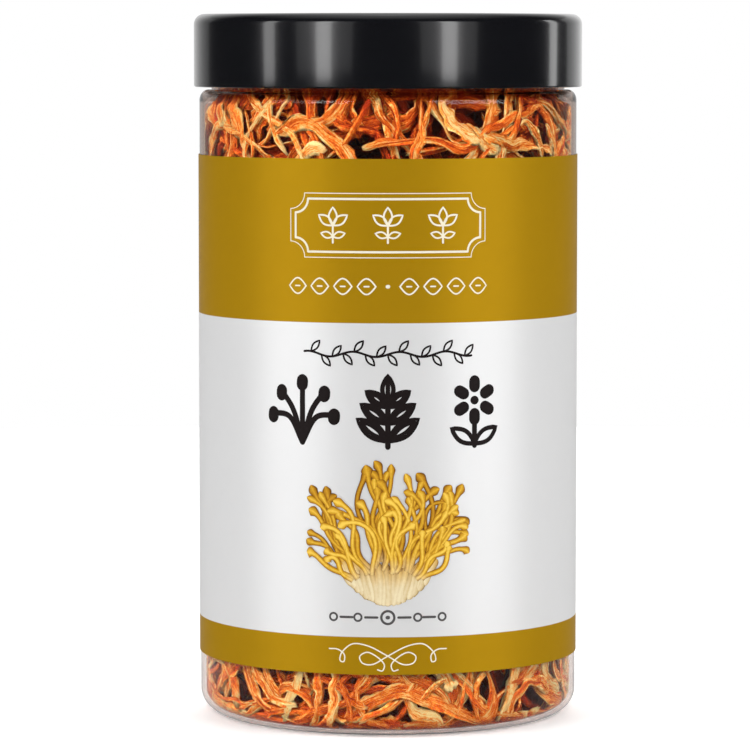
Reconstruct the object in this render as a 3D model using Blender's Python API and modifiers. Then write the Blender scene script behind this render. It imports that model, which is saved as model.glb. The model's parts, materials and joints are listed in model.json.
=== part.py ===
"""Dried cordyceps packed in a clear screw-top jar.

The jar stands on its base ring, its axis is +Z and the origin is the centre of its base.
The cap turns about +Z on a one-start thread and climbs one pitch in a full turn.
Sizes below are in millimetres; MM turns them into metres where a mesh or curve is made.
"""

import math

import bmesh
import bpy
import numpy as np

MM = 0.001
SEGMENTS = 40  # facets round every turned piece
FACET = math.tau / SEGMENTS

# Jar
BODY_R = 42.2
WALL = 0.9
HEEL_WIDE = 5.8  # how far the rounded heel comes in from the side
HEEL_TALL = 5.4
RING_IN_R = 33.0  # inner edge of the flat ring that the jar stands on
PUNT_R = 30.0  # edge of the pushed-up middle of the base
PUNT_EDGE_Z = 1.4
PUNT_Z = 3.0
PUNT_MIDDLE_R = 15.0  # where the pushed-up middle's curve has its one point between edge and axis
GATE_R = 1.8  # moulding mark at the middle of the base
GATE_DEEP = 0.5
SHOULDER_Z = 137.6
SHOULDER_LEDGE = 0.7  # flat ledge between the shoulder's curve and the neck
SHOULDER_IN_DROP = 0.6  # how far inside the jar the shoulder starts below its outer side
NECK_Z = 140.0
NECK_IN_WIDE = 0.9  # chamfer inside, between the shoulder and the neck
NECK_IN_TALL = 0.7
NECK_R = 39.5
NECK_WALL = 1.2
MOUTH_Z = 153.4

# Thread, right-handed, on the neck and inside the cap
PITCH = 5.0
NECK_THREAD_Z = 144.6
NECK_CREST_R = 40.9
NECK_THREAD_TURN = 1.0
CAP_THREAD_DROP = 1.75  # how far the cap's ridge sits under the neck's
CAP_CREST_R = 40.3
CAP_THREAD_TURN = 0.85
RIDGE_ROOT_HALF = 0.9
RIDGE_CREST_HALF = 0.5
ROOT_SINK = 0.5  # how deep a ridge's root runs into its wall

# Cap and liner
CAP_R = 43.4
CAP_BOTTOM_Z = 140.6
CAP_TOP_Z = 156.8
CAP_WALL = 1.5
CAP_PLATE = 1.6
CAP_EDGE_R = 2.3
CAP_LIP_R = 0.4
LINER_R = 40.6
LINER_Z = 153.7
LINER_T = 1.2

# Label
LABEL_LOW_Z = 14.1
LABEL_TOP_Z = 125.6
LABEL_GAP = 0.1
LABEL_T = 0.17
WINDOW_WIDE = 12.0  # clear strip at the back between the label's two ends

# Strands
CLEAR = 0.35  # least gap between the contents and the jar
CORE_R = 32.4  # the packed core stands inside the loose outer strands
CORE_TOP_Z = 146.5
CORE_EDGE_WIDE = 3.0  # rounded top edge of the core
CORE_EDGE_TALL = 2.5
CORE_CROWN = 0.4
CORE_FOOT_TALL = 1.4
CORE_FLARE = 4.0  # height over which the core widens to the wall
WAIST_LOW_Z = 50.0  # between these heights the core reaches the wall
WAIST_HIGH_Z = 90.0
STRANDS_EACH_END = 24
CHAIN_POINTS = 29
RING_STEP = 4  # every fourth chain point is a point of the curve
STRAND_LONG = (44.0, 60.0)
STRAND_GAP = 1.05  # gap that the chains keep, for the chords between curve points
BASE_ZONE = (1.3, 49.0)  # lowest and highest point that a strand may reach
TOP_ZONE = (92.5, 146.0)
BASE_BAND = (10.0, 24.0)  # heights at which the strands' middles start
TOP_BAND = (116.0, 132.0)
BASE_SEED = 7
TOP_SEED = 53
HEADING_BOW = 1.3  # most that a strand's direction changes from foot to tip, in radians
WAVE_SWING = (0.2, 0.7)
WAVE_RATE = (7.0, 12.0)
IN_OUT_SWING = 0.6
IN_OUT_RATE = (4.0, 9.0)
FULL_WAVE = 6.0
SETTLE_STEPS = 1200
BEND_STEP = 4  # points this many places apart hold a strand's bend
BEND_HOLD = 0.6
PUSH_SHARE = 0.4
PAIR_SLACK = 1.5  # points this much further apart than they should be are still watched
PAIR_STEPS = 10  # settling steps between two searches for close points
LAYER_SHARE = 0.26  # how far inside or outside the middle of the gap a strand starts


def clear_scene():
    """Empty the file that the script runs in."""
    for item in list(bpy.data.objects):
        bpy.data.objects.remove(item)


def collection(name):
    """A new collection linked to the scene."""
    made = bpy.data.collections.new(name)
    bpy.context.scene.collection.children.link(made)
    return made


def principled(name, colour, roughness, transmission=0.0, ior=1.5):
    """A Principled material in one colour."""
    material = bpy.data.materials.new(name)
    material.use_nodes = True
    material.diffuse_color = (*colour, 1.0)
    shader = material.node_tree.nodes["Principled BSDF"]
    shader.inputs["Base Color"].default_value = (*colour, 1.0)
    shader.inputs["Roughness"].default_value = roughness
    shader.inputs["Metallic"].default_value = 0.0
    shader.inputs["Transmission Weight"].default_value = transmission
    shader.inputs["IOR"].default_value = ior
    return material


def arc(centre, wide, tall, start, end, steps):
    """Points (r, z) of an elliptical arc, angles in degrees from +r towards +z."""
    points = []
    for i in range(steps + 1):
        angle = math.radians(start + (end - start) * i / steps)
        points.append((centre[0] + wide * math.cos(angle), centre[1] + tall * math.sin(angle)))
    return points


def object_from(name, data, material, group):
    """An object in a collection, with one material."""
    made = bpy.data.objects.new(name, data)
    made.data.materials.append(material)
    group.objects.link(made)
    return made


def turned(name, outline, material, group):
    """A solid of revolution. The outline (r, z) runs down its outer side, from axis to axis."""
    mesh = bpy.data.meshes.new(name)
    points = [(r * MM, 0.0, z * MM) for r, z in outline]
    mesh.from_pydata(points, [(i, i + 1) for i in range(len(points) - 1)], [])
    made = object_from(name, mesh, material, group)
    screw = made.modifiers.new("Turn", "SCREW")
    screw.axis = "Z"
    screw.steps = SEGMENTS
    screw.render_steps = SEGMENTS
    screw.use_merge_vertices = True
    screw.merge_threshold = 0.00001
    screw.use_smooth_shade = True
    return made


def thread_ridge(name, wall_r, crest_r, start_z, turn, material, group):
    """A helical ridge of trapezoid section whose root is sunk into a round wall."""
    outward = 1.0 if crest_r > wall_r else -1.0
    root_r = wall_r - outward * ROOT_SINK
    half_turn = FACET / 2  # the ridge starts at the middle of a facet
    corners = [
        (root_r, start_z - RIDGE_ROOT_HALF),
        (crest_r, start_z - RIDGE_CREST_HALF),
        (crest_r, start_z + RIDGE_CREST_HALF),
        (root_r, start_z + RIDGE_ROOT_HALF),
    ]
    steps = round(turn * SEGMENTS)
    made = bmesh.new()
    ring = [
        made.verts.new((r * MM * math.cos(half_turn), r * MM * math.sin(half_turn), z * MM))
        for r, z in corners
    ]
    section = made.faces.new(ring)
    bmesh.ops.spin(
        made,
        geom=[section, *section.edges, *section.verts],
        cent=(0.0, 0.0, 0.0),
        axis=(0.0, 0.0, 1.0),
        dvec=(0.0, 0.0, PITCH * MM / SEGMENTS),
        angle=steps * FACET,
        steps=steps,
    )
    bmesh.ops.recalc_face_normals(made, faces=made.faces)
    mesh = bpy.data.meshes.new(name)
    made.to_mesh(mesh)
    made.free()
    ridge = object_from(name, mesh, material, group)
    ridge.hide_render = True
    ridge.display_type = "WIRE"
    return ridge


def join_ridge(body, ridge):
    """Join a thread ridge to its body with a Boolean."""
    union = body.modifiers.new("Thread", "BOOLEAN")
    union.operation = "UNION"
    union.object = ridge


def heel_arc(inset, steps=6):
    """The rounded heel from the side down to the standing ring, moved in by inset."""
    centre = (BODY_R - HEEL_WIDE, HEEL_TALL)
    return arc(centre, HEEL_WIDE - inset, HEEL_TALL - inset, 0.0, -90.0, steps)


def punt_height(radius):
    """Height of the underside of the pushed-up middle of the base."""
    return PUNT_Z - (PUNT_Z - PUNT_EDGE_Z) * (radius / PUNT_R) ** 2


def jar_outline():
    """Jar wall, up the inside from the middle of the floor and down the outside."""
    inner_r = BODY_R - WALL
    neck_in = NECK_R - NECK_WALL
    shoulder_wide = BODY_R - NECK_R - SHOULDER_LEDGE
    shoulder = (BODY_R - shoulder_wide, SHOULDER_Z)
    shoulder_tall = NECK_Z - SHOULDER_Z
    inside = [(r, punt_height(r) + WALL) for r in (0.0, PUNT_MIDDLE_R, PUNT_R - 0.4)]
    inside += [(RING_IN_R, WALL), *reversed(heel_arc(WALL))]
    inside += [(inner_r, SHOULDER_Z - SHOULDER_IN_DROP)]
    inside += [(neck_in + NECK_IN_WIDE, NECK_Z - NECK_IN_TALL), (neck_in, NECK_Z), (neck_in, MOUTH_Z)]
    outside = [(NECK_R, MOUTH_Z), (NECK_R, NECK_Z)]
    outside += list(reversed(arc(shoulder, shoulder_wide, shoulder_tall, 0.0, 90.0, 4)))
    outside += heel_arc(0.0)
    outside += [(RING_IN_R, 0.0), (PUNT_R, PUNT_EDGE_Z), (PUNT_MIDDLE_R, punt_height(PUNT_MIDDLE_R))]
    gate_z = PUNT_Z - GATE_DEEP
    outside += [(GATE_R + 0.4, punt_height(GATE_R)), (GATE_R, gate_z), (0.0, gate_z)]
    return inside + outside


def cap_outline():
    """Cap, from the middle of its top down the outside and up the inside."""
    inner_r = CAP_R - CAP_WALL
    under = CAP_TOP_Z - CAP_PLATE
    top_edge = arc((CAP_R - CAP_EDGE_R, CAP_TOP_Z - CAP_EDGE_R), CAP_EDGE_R, CAP_EDGE_R, 90.0, 0.0, 4)
    lip = arc((CAP_R - CAP_LIP_R, CAP_BOTTOM_Z + CAP_LIP_R), CAP_LIP_R, CAP_LIP_R, 0.0, -90.0, 2)
    return [(0.0, CAP_TOP_Z), *top_edge, *lip, (inner_r, CAP_BOTTOM_Z), (inner_r, under), (0.0, under)]


def core_outline():
    """Packed core: narrow at both ends, where loose strands lie round it, and full width between."""
    wide = BODY_R - WALL - CLEAR
    lift = WALL + CLEAR
    outline = [(0.0, CORE_TOP_Z), (CORE_R - CORE_EDGE_WIDE, CORE_TOP_Z - CORE_CROWN)]
    outline += [(CORE_R, CORE_TOP_Z - CORE_EDGE_TALL)]
    outline += [(CORE_R, WAIST_HIGH_Z + CORE_FLARE), (wide, WAIST_HIGH_Z)]
    outline += [(wide, WAIST_LOW_Z), (CORE_R, WAIST_LOW_Z - CORE_FLARE)]
    outline += [(CORE_R, lift + CORE_FOOT_TALL), (RING_IN_R, lift), (PUNT_R - 0.6, PUNT_EDGE_Z + lift)]
    return outline + [(r, punt_height(r) + lift) for r in (PUNT_MIDDLE_R, 0.0)]


def make_label(material, group):
    """Printed film, bent round the jar from one side of the clear back strip to the other."""
    inner_r = BODY_R + LABEL_GAP
    half_angle = math.pi - WINDOW_WIDE / 2 / inner_r
    columns = math.floor(half_angle / FACET)
    angles = [-half_angle, *[k * FACET for k in range(-columns, columns + 1)], half_angle]
    sheet = bmesh.new()
    bmesh.ops.create_grid(sheet, x_segments=len(angles) - 1, y_segments=1, size=1.0)
    for vert in sheet.verts:
        column = round((vert.co.x + 1.0) / 2.0 * (len(angles) - 1))
        angle = angles[column] - math.pi / 2  # the sheet's middle faces -Y
        height = LABEL_TOP_Z if vert.co.y > 0 else LABEL_LOW_Z
        vert.co = (inner_r * MM * math.cos(angle), inner_r * MM * math.sin(angle), height * MM)
    mesh = bpy.data.meshes.new("label")
    sheet.to_mesh(mesh)
    sheet.free()
    label = object_from("label", mesh, material, group)
    film = label.modifiers.new("Film", "SOLIDIFY")
    film.thickness = LABEL_T * MM
    film.offset = 1.0
    return label


def strand_radius(along):
    """Half thickness of a dried strand from its cut foot (0) to its club-shaped tip (1)."""
    club = math.exp(-(((along - 0.8) / 0.16) ** 2))
    tip = 1.0 - 0.55 * max(0.0, (along - 0.9) / 0.1)
    return (1.0 + 0.15 * along + 0.45 * club) * tip


def outer_limit(height, radius):
    """How far out a strand of this radius may reach at each height, inside the wall and the neck."""
    body = BODY_R - WALL - CLEAR
    neck = NECK_R - NECK_WALL - CLEAR
    share = np.clip((height + radius - (SHOULDER_Z - 1.5)) / (NECK_Z - SHOULDER_Z + 1.5), 0.0, 1.0)
    return body + (neck - body) * share - radius


def keep_in_zone(points, radius, zone):
    """Move chain points back between the core and the wall, and between the zone's two heights."""
    flat = np.hypot(points[..., 0], points[..., 1])
    height = np.clip(points[..., 2], zone[0] + radius, zone[1] - radius)
    held = np.clip(flat, CORE_R + CLEAR + radius, outer_limit(height, radius))
    heel_r = BODY_R - HEEL_WIDE
    out = np.maximum(held - heel_r, 0.0) / (HEEL_WIDE - WALL - CLEAR - radius)
    down = np.maximum(HEEL_TALL - height, 0.0) / (HEEL_TALL - WALL - CLEAR - radius)
    past = np.maximum(np.hypot(out, down), 1.0)
    held = np.where(out > 0.0, heel_r + (held - heel_r) / past, held)
    height = np.where((out > 0.0) & (down > 0.0), HEEL_TALL - (HEEL_TALL - height) / past, height)
    moved = points * (held / flat)[..., None]
    moved[..., 2] = height
    return moved


def hold_lengths(points, step, rest, stiffness):
    """Pull points that are this many places apart on one chain back towards their rest distance."""
    for start in range(2 * step):
        first = points[:, start : -step : 2 * step]
        second = points[:, start + step :: 2 * step]
        wanted = rest[:, start :: 2 * step]
        gap = second - first
        length = np.linalg.norm(gap, axis=-1)
        move = gap * (stiffness * (length - wanted) / np.maximum(length, 1e-9) / 2)[..., None]
        first += move
        second -= move


def close_pairs(points, reach, owner):
    """Pairs of points of different strands that are near enough to meet within a few steps."""
    distance = np.linalg.norm(points[:, None, :] - points[None, :, :], axis=-1)
    wanted = reach[:, None] + reach[None, :] + STRAND_GAP
    near = (distance < wanted + PAIR_SLACK) & (owner[:, None] < owner[None, :])
    a, b = np.nonzero(near)
    return a, b, wanted[a, b]


def push_apart(points, pairs):
    """Push apart the points of each pair that are closer than they should be."""
    a, b, wanted = pairs
    gap = points[a] - points[b]
    distance = np.linalg.norm(gap, axis=-1)
    short = np.maximum(wanted - distance, 0.0)
    move = gap * (PUSH_SHARE * short / np.maximum(distance, 1e-9))[:, None]
    np.add.at(points, a, move)
    np.add.at(points, b, -move)


def loose_chains(count, zone, band, seed):
    """Centre lines of curved strands that lie round the core, settled until none touch."""
    random = np.random.default_rng(seed)
    middle_r = (CORE_R + BODY_R - WALL) / 2
    layer = (BODY_R - WALL - CORE_R) * LAYER_SHARE
    chains = np.empty((count, CHAIN_POINTS, 3))
    for i in range(count):
        length = random.uniform(*STRAND_LONG)
        along = np.linspace(-0.5, 0.5, CHAIN_POINTS)
        heading = random.uniform(0.0, math.pi) + random.uniform(-HEADING_BOW, HEADING_BOW) * along
        swing = random.uniform(*WAVE_SWING)
        heading += swing * np.sin(along * random.uniform(*WAVE_RATE) + random.uniform(0.0, FULL_WAVE))
        step = length / (CHAIN_POINTS - 1)
        around = np.cumsum(np.cos(heading)) * step
        height = np.cumsum(np.sin(heading)) * step
        around += (i + random.uniform(0.2, 0.8)) / count * math.tau * middle_r - around.mean()
        height += random.uniform(*band) - height.mean()
        in_out = np.sin(along * random.uniform(*IN_OUT_RATE) + random.uniform(0.0, FULL_WAVE))
        radial = middle_r + layer * (-1) ** i + IN_OUT_SWING * in_out
        angle = around / middle_r
        chains[i] = np.stack([radial * np.cos(angle), radial * np.sin(angle), height], axis=-1)
    radius = np.array([strand_radius(t) for t in np.linspace(0.0, 1.0, CHAIN_POINTS)])
    link = np.linalg.norm(chains[:, 1:] - chains[:, :-1], axis=-1)
    bend = np.linalg.norm(chains[:, BEND_STEP:] - chains[:, :-BEND_STEP], axis=-1)
    reach = np.tile(radius, count)
    owner = np.repeat(np.arange(count), CHAIN_POINTS)
    for turn in range(SETTLE_STEPS):
        flat = chains.reshape(-1, 3)
        if turn % PAIR_STEPS == 0:
            pairs = close_pairs(flat, reach, owner)
        push_apart(flat, pairs)
        hold_lengths(chains, BEND_STEP, bend, BEND_HOLD * (1.0 - turn / SETTLE_STEPS))
        hold_lengths(chains, 1, link, 1.0)
        chains = keep_in_zone(chains, radius, zone)
    return chains


def make_strand(name, chain, material, group):
    """One dried strand: a thin foot, a slightly thicker stalk and a club-shaped tip."""
    curve = bpy.data.curves.new(name, "CURVE")
    curve.dimensions = "3D"
    curve.bevel_depth = MM
    curve.bevel_resolution = 1
    curve.use_fill_caps = True
    spline = curve.splines.new("POLY")
    stations = range(0, CHAIN_POINTS, RING_STEP)
    spline.points.add(len(stations) - 1)
    for point, index in zip(spline.points, stations):
        point.co = (*(chain[index] * MM), 1.0)
        point.radius = strand_radius(index / (CHAIN_POINTS - 1))
    return object_from(name, curve, material, group)


def main():
    """Build the jar, its label, the cap with its liner, and the strands."""
    clear_scene()
    group = collection("dried_cordyceps_jar")
    cutters = collection("ridges")
    clear_plastic = principled("clear_plastic", (0.93, 0.95, 0.96), 0.05, 1.0, 1.57)
    black_plastic = principled("black_plastic", (0.01, 0.01, 0.012), 0.15)
    foam = principled("white_foam", (0.85, 0.85, 0.83), 0.8)
    film = principled("printed_film", (0.47, 0.27, 0.02), 0.35)
    dried = principled("dried_fungus", (0.62, 0.24, 0.06), 0.7)

    jar = turned("jar", jar_outline(), clear_plastic, group)
    neck_ridge = thread_ridge(
        "neck_ridge", NECK_R, NECK_CREST_R, NECK_THREAD_Z, NECK_THREAD_TURN, clear_plastic, cutters
    )
    join_ridge(jar, neck_ridge)
    make_label(film, group)

    cap = turned("cap", cap_outline(), black_plastic, group)
    cap_ridge_z = NECK_THREAD_Z - CAP_THREAD_DROP
    cap_ridge = thread_ridge(
        "cap_ridge", CAP_R - CAP_WALL, CAP_CREST_R, cap_ridge_z, CAP_THREAD_TURN, black_plastic, cutters
    )
    join_ridge(cap, cap_ridge)
    liner_top = LINER_Z + LINER_T
    liner = [(0.0, liner_top), (LINER_R, liner_top), (LINER_R, LINER_Z), (0.0, LINER_Z)]
    turned("cap_liner", liner, foam, group)

    turned("strand_core", core_outline(), dried, group)
    base = loose_chains(STRANDS_EACH_END, BASE_ZONE, BASE_BAND, BASE_SEED)
    top = loose_chains(STRANDS_EACH_END, TOP_ZONE, TOP_BAND, TOP_SEED)
    for place, chains in (("base", base), ("top", top)):
        for number, chain in enumerate(chains, start=1):
            make_strand(f"strand_{place}_{number:02d}", chain, dried, group)


main()
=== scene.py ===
"""Looks of a clear screw-top jar packed with dried cordyceps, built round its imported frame.

Sizes are in millimetres, and MM turns them into metres where a mesh is placed. The jar's axis is
+Z, its base stands at height 0, and the middle of its label faces -Y.
"""

import json
import logging
import math
from dataclasses import dataclass
from enum import Enum
from typing import Callable, Sequence, Union

import bmesh
import bpy
import numpy as np
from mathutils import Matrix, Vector, kdtree

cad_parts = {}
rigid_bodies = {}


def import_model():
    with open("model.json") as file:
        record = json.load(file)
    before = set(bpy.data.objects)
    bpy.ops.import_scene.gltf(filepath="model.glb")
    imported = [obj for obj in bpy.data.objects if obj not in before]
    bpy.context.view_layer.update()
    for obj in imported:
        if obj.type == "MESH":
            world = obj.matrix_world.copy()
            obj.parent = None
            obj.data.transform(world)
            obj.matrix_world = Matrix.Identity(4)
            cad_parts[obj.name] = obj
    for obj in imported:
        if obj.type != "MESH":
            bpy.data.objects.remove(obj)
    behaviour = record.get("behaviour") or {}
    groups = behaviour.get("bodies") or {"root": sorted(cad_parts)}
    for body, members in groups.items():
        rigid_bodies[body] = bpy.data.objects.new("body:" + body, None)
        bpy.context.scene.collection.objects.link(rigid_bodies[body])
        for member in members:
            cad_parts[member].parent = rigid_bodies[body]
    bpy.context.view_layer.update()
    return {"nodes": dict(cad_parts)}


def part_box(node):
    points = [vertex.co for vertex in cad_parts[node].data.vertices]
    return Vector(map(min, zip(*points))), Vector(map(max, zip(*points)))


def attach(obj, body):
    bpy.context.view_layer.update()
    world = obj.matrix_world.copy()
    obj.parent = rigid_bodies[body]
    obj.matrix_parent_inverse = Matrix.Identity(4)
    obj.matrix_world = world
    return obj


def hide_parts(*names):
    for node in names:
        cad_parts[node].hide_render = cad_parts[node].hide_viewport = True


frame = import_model()

MM = 0.001
FINE = 192  # facets round a turned piece
SMOOTH_ANGLE = math.radians(32.0)
WELD = 1e-7
PHASE = 6.3  # a little over a full turn, in radians

log = logging.getLogger("jar")

Point = tuple[float, float]
Outline = list[Point]
Line = tuple[Point, ...]
Pairs = tuple[np.ndarray, np.ndarray]
Colour = tuple[float, float, float]
WHITE: Colour = (1.0, 1.0, 1.0)


# ---------------------------------------------------------------- node trees


def operator(operation: str, swapped: bool = False) -> Callable[["Value", "Number"], "Value"]:
    """Makes the method behind one of Python's operators.

    Args:
        operation: The operation of the Math node that it adds.
        swapped: Whether the other number comes first.

    Returns:
        The method.
    """

    def method(value: "Value", other: "Number") -> "Value":
        """Adds the Math node."""
        pair = (other, value) if swapped else (value, other)
        return value.tree.add("ShaderNodeMath", {"operation": operation}, dict(enumerate(pair)))

    return method


class Value:
    """A number, colour or vector in a node tree. Arithmetic on a number adds Math nodes."""

    def __init__(self, tree: "Tree", socket: bpy.types.NodeSocket) -> None:
        """Wraps an output socket of a tree."""
        self.tree = tree
        self.socket = socket

    __add__ = operator("ADD")
    __radd__ = operator("ADD", swapped=True)
    __sub__ = operator("SUBTRACT")
    __rsub__ = operator("SUBTRACT", swapped=True)
    __mul__ = operator("MULTIPLY")
    __rmul__ = operator("MULTIPLY", swapped=True)
    __truediv__ = operator("DIVIDE")

    def by(self, operation: str, other: "Number" = 0.0) -> "Value":
        """Adds any other Math node, with this number first."""
        return operator(operation)(self, other)

    def step(self, low: float, high: float) -> "Value":
        """0 below low, 1 above high and a smooth rise between them."""
        settings = {"interpolation_type": "SMOOTHSTEP"}
        return self.tree.add("ShaderNodeMapRange", settings, {0: self, 1: low, 2: high})


Number = Union[float, Value]


class Tree:
    """A node tree that is filled one node at a time."""

    def __init__(self, node_tree: bpy.types.NodeTree) -> None:
        """Starts on a tree that exists."""
        self.nodes = node_tree.nodes
        self.links = node_tree.links

    def feed(self, socket: bpy.types.NodeSocket, value: object) -> None:
        """Links a Value to a socket, or sets the socket to a constant.

        Args:
            socket: The input socket.
            value: A Value, a number, or a colour, which is made opaque.
        """
        if isinstance(value, Value):
            self.links.new(value.socket, socket)
        elif socket.type == "RGBA":
            socket.default_value = (*value, 1.0)
        else:
            socket.default_value = value

    def add(self, kind: str, settings: dict, sockets: dict, output: Union[int, str] = 0) -> Value:
        """Adds a node.

        Args:
            kind: The node's type.
            settings: Its properties, set first; a ramp's stops are given as "stops".
            sockets: Input name or number to a constant or a Value.
            output: The output to return.

        Returns:
            The output, wrapped.
        """
        node = self.nodes.new(kind)
        for name, setting in settings.items():
            if name == "stops":
                self._stops(node.color_ramp, setting)
            else:
                setattr(node, name, setting)
        for key, value in sockets.items():
            self.feed(node.inputs[key], value)
        return Value(self, node.outputs[output])

    @staticmethod
    def _stops(ramp: bpy.types.ColorRamp, stops: Sequence[tuple[float, Colour]]) -> None:
        """Gives a ramp its stops.

        Args:
            ramp: The ramp, which has two stops or fewer than it needs.
            stops: Place and colour of each stop, in order.
        """
        while len(ramp.elements) < len(stops):
            ramp.elements.new(1.0)
        for element, (place, colour) in zip(ramp.elements, stops):
            element.position = place
            element.color = (*colour, 1.0)

    def mix(self, factor: Number, first: object, second: object) -> Value:
        """Mixes two colours."""
        sockets = {0: factor, 6: first, 7: second}
        return self.add("ShaderNodeMix", {"data_type": "RGBA"}, sockets, 2)

    def place(self) -> Value:
        """The point's own place on the piece."""
        return self.add("ShaderNodeTexCoord", {}, {}, "Object")

    def part(self, vector: Value, axis: str) -> Value:
        """One of a vector's three numbers."""
        return self.add("ShaderNodeSeparateXYZ", {}, {0: vector}, axis)

    def stretch(self, vector: Value, scale: tuple[float, float, float]) -> Value:
        """A vector scaled differently along each axis."""
        sockets = {0: vector, 1: scale}
        return self.add("ShaderNodeVectorMath", {"operation": "MULTIPLY"}, sockets)

    def noise(self, vector: Value, scale: float, detail: float = 2.0, rough: float = 0.5) -> Value:
        """Soft noise from 0 to 1."""
        sockets = {"Vector": vector, "Scale": scale, "Detail": detail, "Roughness": rough}
        return self.add("ShaderNodeTexNoise", {}, sockets)

    def mark(self, name: str, output: str = "Fac") -> Value:
        """A named attribute of the mesh."""
        return self.add("ShaderNodeAttribute", {"attribute_name": name}, {}, output)

    def ramp(self, stops: Sequence[tuple[float, Colour]], shade: Value) -> Value:
        """A colour that goes through stops as shade goes from 0 to 1."""
        return self.add("ShaderNodeValToRGB", {"stops": stops}, {0: shade})

    def ray(self, output: str) -> Value:
        """1 for rays of one sort, such as Is Camera Ray, and 0 for the others."""
        return self.add("ShaderNodeLightPath", {}, {}, output)

    def bump(self, height: Value, distance: float) -> Value:
        """A normal that follows a height, whose full range is distance metres."""
        sockets = {"Height": height, "Distance": distance, "Strength": 1.0}
        return self.add("ShaderNodeBump", {}, sockets)


class Surface(Tree):
    """A material with one Principled shader."""

    def __init__(self, name: str) -> None:
        """Starts a new material."""
        self.material = bpy.data.materials.new(name)
        self.material.use_nodes = True
        super().__init__(self.material.node_tree)
        self.shader = self.nodes["Principled BSDF"]

    def dress(self, **sockets: object) -> bpy.types.Material:
        """Sets the shader's sockets.

        Args:
            sockets: Constants and Values by the socket's name, with an underscore for each space.

        Returns:
            The material.
        """
        for name, value in sockets.items():
            self.feed(self.shader.inputs[name.replace("_", " ")], value)
        return self.material


# ---------------------------------------------------------------- finishes


INK_IOR = 1.15  # low, because satin print mirrors little


def scaled(colour: Colour, times: float, more: float = 0.0) -> Colour:
    """A colour made lighter or darker."""
    return tuple(min(1.0, times * part + more) for part in colour)


@dataclass(frozen=True)
class ClearPlastic:
    """Clear moulded plastic, faintly wavy. It tints light that goes a long way through it."""

    tint: Colour = (0.93, 0.935, 0.94)
    ior: float = 1.22
    wave: float = 0.00003
    depth: Colour = (0.65, 0.25, 0.05)  # the colour that light takes over a long way through it
    density: float = 96.0  # per metre

    def make(self) -> bpy.types.Material:
        """Builds the material.

        Returns:
            The material.
        """
        tree = Surface("clear_plastic")
        waves = tree.noise(tree.stretch(tree.place(), (1.0, 1.0, 0.35)), 70.0, 1.0)
        haze = tree.noise(tree.place(), 260.0, 3.0)
        sockets = {"Color": self.depth, "Density": self.density}
        absorbed = tree.add("ShaderNodeVolumeAbsorption", {}, sockets, "Volume")
        tree.feed(tree.nodes["Material Output"].inputs["Volume"], absorbed)
        return tree.dress(
            Base_Color=self.tint,
            Roughness=0.004 + 0.012 * haze,
            Transmission_Weight=1.0,
            IOR=self.ior,
            Normal=tree.bump(waves, self.wave),
        )


@dataclass(frozen=True)
class GlossBlack:
    """Black moulded plastic, polished, with a little haze from handling."""

    colour: Colour = (0.0032, 0.0034, 0.0045)
    roughness: float = 0.16

    def make(self) -> bpy.types.Material:
        """Builds the material.

        Returns:
            The material.
        """
        tree = Surface("black_plastic")
        haze = tree.noise(tree.place(), 55.0, 4.0, 0.6)
        wipe = tree.noise(tree.stretch(tree.place(), (1.0, 1.0, 8.0)), 120.0, 2.0)
        grain = tree.noise(tree.place(), 900.0, 2.0)
        return tree.dress(
            Base_Color=tree.mix(haze, self.colour, scaled(self.colour, 1.5)),
            Roughness=self.roughness + 0.05 * haze + 0.02 * wipe,
            IOR=1.5,
            Coat_Weight=1.0,
            Coat_Roughness=0.1,
            Normal=tree.bump(grain, 0.000002),
        )


@dataclass(frozen=True)
class Foam:
    """Closed-cell foam, white and matt, with a fine cell pattern."""

    colour: Colour = (0.84, 0.84, 0.81)

    def make(self) -> bpy.types.Material:
        """Builds the material.

        Returns:
            The material.
        """
        tree = Surface("white_foam")
        cells = tree.add("ShaderNodeTexVoronoi", {}, {"Vector": tree.place(), "Scale": 1600.0})
        tint = tree.noise(tree.place(), 90.0)
        darker = scaled(self.colour, 0.93)
        return tree.dress(
            Base_Color=tree.mix(tint, self.colour, darker),
            Roughness=0.75 + 0.15 * cells,
            Normal=tree.bump(cells, 0.00006),
        )


@dataclass(frozen=True)
class PrintedFilm:
    """Satin film printed with a white band between two gold ones."""

    white_low: float
    white_top: float
    gold: Colour = (0.450, 0.250, 0.0065)
    white: Colour = (0.82, 0.82, 0.822)
    rim: Colour = (0.30, 0.28, 0.24)  # tint of what it mirrors at a grazing angle
    edge: float = 0.06  # softness of a printed boundary

    def make(self) -> bpy.types.Material:
        """Builds the material.

        Returns:
            The material.
        """
        tree = Surface("printed_film")
        height = tree.part(tree.place(), "Z") / MM
        above = height.step(self.white_low - self.edge, self.white_low + self.edge)
        below = 1.0 - height.step(self.white_top - self.edge, self.white_top + self.edge)
        band = above * below
        mottle = tree.noise(tree.place(), 320.0, 3.0, 0.6)
        deeper = scaled(self.gold, 0.95)
        greyer = scaled(self.white, 0.985)
        gold = tree.mix(mottle, self.gold, deeper)
        white = tree.mix(mottle, self.white, greyer)
        grain = tree.noise(tree.place(), 2600.0, 2.0)
        return tree.dress(
            Base_Color=tree.mix(band, gold, white),
            Roughness=0.34 + 0.06 * mottle,
            Metallic=0.19 + 0.02 * mottle,
            Specular_Tint=self.rim,
            IOR=INK_IOR,
            Normal=tree.bump(grain, 0.000004),
        )


@dataclass(frozen=True)
class Ink:
    """One printed ink, slightly uneven."""

    name: str
    colour: Colour
    roughness: float = 0.45

    def make(self) -> bpy.types.Material:
        """Builds the material.

        Returns:
            The material.
        """
        tree = Surface(self.name)
        cover = tree.noise(tree.place(), 1500.0, 3.0)
        thinner = scaled(self.colour, 1.12, 0.004)
        return tree.dress(
            Base_Color=tree.mix(cover, self.colour, thinner),
            Roughness=self.roughness + 0.06 * cover,
            IOR=INK_IOR,
        )


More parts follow.
